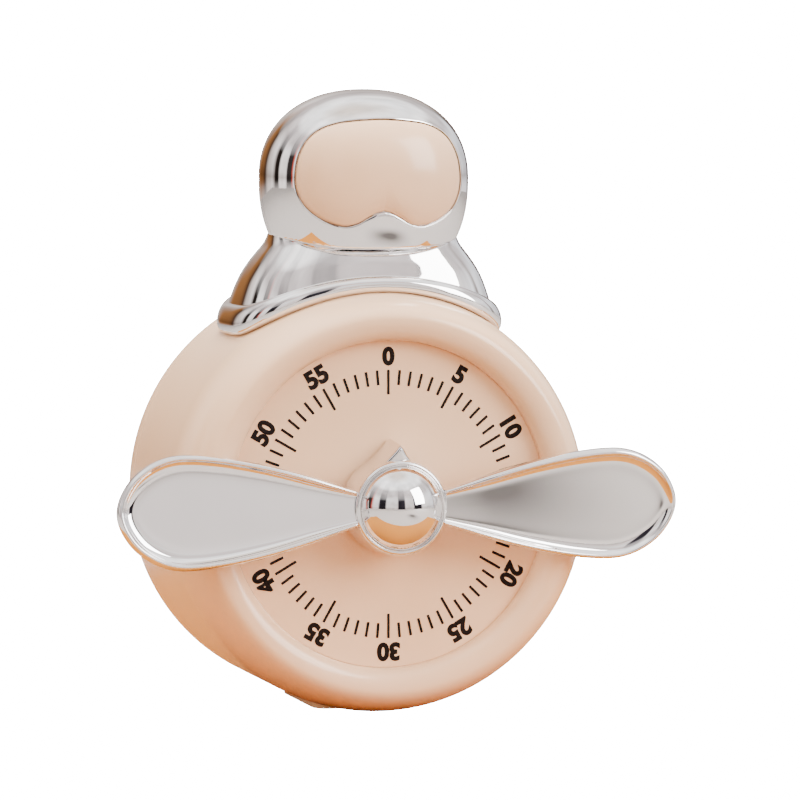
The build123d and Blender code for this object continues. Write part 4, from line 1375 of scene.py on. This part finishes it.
    def lamp(self, name: str, size: tuple, place: tuple, power: float, colour: str, mirrored: bool) -> None:
        """Adds a soft rectangular light that faces the timer.

        Args:
            name: the lamp's name.
            size: width and height in millimetres.
            place: where it stands, in millimetres.
            power: watts.
            colour: sRGB hex colour.
            mirrored: whether gloss shows the lamp itself.
        """
        data = bpy.data.lights.new(name, "AREA")
        data.shape = "RECTANGLE"
        data.size, data.size_y = size[0] * MM, size[1] * MM
        data.energy = power
        data.color = linear(colour)[:3]
        lamp = bpy.data.objects.new(name, data)
        lamp.location = Vector(place) * MM
        lamp.visible_glossy = mirrored
        lamp.visible_camera = False
        toward = Vector((0, 0, 45)) - Vector(place)
        lamp.rotation_euler = toward.to_track_quat("-Z", "Y").to_euler()
        bpy.context.scene.collection.objects.link(lamp)

    def ramp(self, tree: bpy.types.NodeTree, value: bpy.types.NodeSocket, stops: Sequence) -> bpy.types.NodeSocket:
        """A colour ramp through (position, sRGB hex) stops.

        Args:
            tree: the world's tree.
            value: what drives the ramp, from 0 to 1.
            stops: the stops in rising order.

        Returns:
            The ramp's colour.
        """
        node = add_node(tree, "ShaderNodeValToRGB", inputs={"Fac": value})
        elements = node.color_ramp.elements
        elements[0].position, elements[0].color = stops[0][0], linear(stops[0][1])
        elements[1].position, elements[1].color = stops[-1][0], linear(stops[-1][1])
        for position, colour in stops[1:-1]:
            elements.new(position).color = linear(colour)
        return node.outputs["Color"]

    def world(self) -> None:
        """Lights the room softly, shows plain white behind, and gives gloss a room with windows to mirror."""
        world = bpy.data.worlds.new("soft_room")
        bpy.context.scene.world = world
        world.use_nodes = True
        tree = world.node_tree
        tree.nodes.clear()
        place = add_node(tree, "ShaderNodeTexCoord")
        split = add_node(tree, "ShaderNodeSeparateXYZ", inputs={"Vector": place.outputs["Generated"]})
        height = add_node(
            tree, "ShaderNodeMapRange", inputs={"Value": split.outputs["Z"], "From Min": -1.0, "From Max": 1.0}
        ).outputs["Result"]
        front = add_node(tree, "ShaderNodeMath", {"operation": "MULTIPLY"}, {0: split.outputs["Y"], 1: -1.0})
        round_about = add_node(
            tree, "ShaderNodeMath", {"operation": "ARCTAN2"}, {0: split.outputs["X"], 1: front.outputs[0]}
        )
        azimuth = add_node(
            tree,
            "ShaderNodeMapRange",
            inputs={"Value": round_about.outputs[0], "From Min": -math.pi, "From Max": math.pi},
        ).outputs["Result"]
        soft = self.ramp(tree, height, self.soft_sky)
        upright = self.ramp(tree, height, self.mirror_sky)
        about = self.ramp(tree, azimuth, self.mirror_walls)
        wall_share = self.ramp(tree, height, self.wall_share)
        walls = add_node(
            tree, "ShaderNodeMix", {"data_type": "RGBA", "blend_type": "MULTIPLY"},
            {0: wall_share, 6: upright, 7: about},
        )
        cloud = add_node(
            tree, "ShaderNodeTexNoise", inputs={"Vector": place.outputs["Generated"], "Scale": 3.5, "Detail": 3.0}
        )
        uneven = add_node(
            tree,
            "ShaderNodeMapRange",
            inputs={"Value": cloud.outputs["Fac"], "From Min": 0.35, "From Max": 0.65, "To Min": 0.78, "To Max": 1.08},
        )
        room = add_node(
            tree, "ShaderNodeVectorMath", {"operation": "SCALE"},
            {0: walls.outputs[2], "Scale": uneven.outputs["Result"]},
        )
        gained = add_node(
            tree, "ShaderNodeVectorMath", {"operation": "SCALE"}, {0: room.outputs[0], "Scale": self.mirror_gain}
        )
        seen = add_node(tree, "ShaderNodeLightPath")
        lit = add_node(
            tree, "ShaderNodeMix", {"data_type": "RGBA"},
            {0: seen.outputs["Is Glossy Ray"], 6: soft, 7: gained.outputs[0]},
        )
        light = add_node(
            tree, "ShaderNodeBackground", inputs={"Color": lit.outputs[2], "Strength": self.room_light}
        )
        plain = add_node(
            tree, "ShaderNodeBackground", inputs={"Color": linear("#FFFFFF"), "Strength": self.backdrop}
        )
        both = add_node(
            tree, "ShaderNodeMixShader",
            inputs={0: seen.outputs["Is Camera Ray"], 1: light.outputs[0], 2: plain.outputs[0]},
        )
        add_node(tree, "ShaderNodeOutputWorld", inputs={"Surface": both.outputs["Shader"]})

    def build(self) -> None:
        """Sets the whole stage."""
        self.camera()
        self.world()
        floor = self.card("pale_floor", (9000, 9000), (0, 0, -0.05), "#FCFBFA", self.floor_glow)
        floor.visible_glossy = False
        floor.visible_diffuse = False
        for name, size, place, colour, glow in self.cards:
            flag = self.card(name, size, place, colour, glow)
            if name == "grey_surround":
                self.shade_card(flag)
            flag.visible_camera = False
            flag.visible_shadow = False
            flag.visible_diffuse = name == "warm_board"
        for name, size, place, power, colour, mirrored in self.lamps:
            self.lamp(name, size, place, power, colour, mirrored)


# ------------------------------------------------------------------ the whole timer
def put(piece: bpy.types.Object, *nodes: str) -> None:
    """Reports a piece and lets it stand for its CAD nodes."""
    if nodes:
        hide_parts(*nodes)
    log.info("made %s: %d faces", piece.name, len(piece.data.polygons))


def main() -> None:
    """Builds every piece in order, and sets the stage."""
    abs_peach, chrome, ink = PEACH_ABS.build(), PLATED_CHROME.build(), PAD_INK.build()
    finishes = {
        "brass": STAMPED_BRASS.build(),
        "steel": TURNED_STEEL.build(),
        "blued": BLUED_STEEL.build(),
        "zinc": ZINC_PLATE.build(),
    }
    drum, dial, helmet, propeller = Drum(), Dial(), Helmet(), Propeller()
    put(drum.front_shell(abs_peach), "front_shell")
    put(drum.foot(abs_peach))
    put(drum.rear_cover(abs_peach), "rear_cover")
    put(drum.magnets(NICKEL.build()), "magnets")
    put(dial.plate(abs_peach), "dial_plate")
    put(dial.strokes(ink), "dial_marks")
    put(dial.numbers(ink))
    put(helmet.half("helmet_face", False, chrome), "helmet_front")
    put(helmet.half("helmet_back", True, chrome), "helmet_rear")
    put(helmet.visor(abs_peach), "visor")
    put(Collar(drum).build(chrome), "collar")
    put(propeller.blades(chrome), "propeller")
    put(propeller.nose_cap(chrome), "nose_cap")
    put(propeller.pointer(chrome), "pointer_collar")
    Movement().dress(finishes)
    Studio().build()


if __name__ == "__main__":
    main()
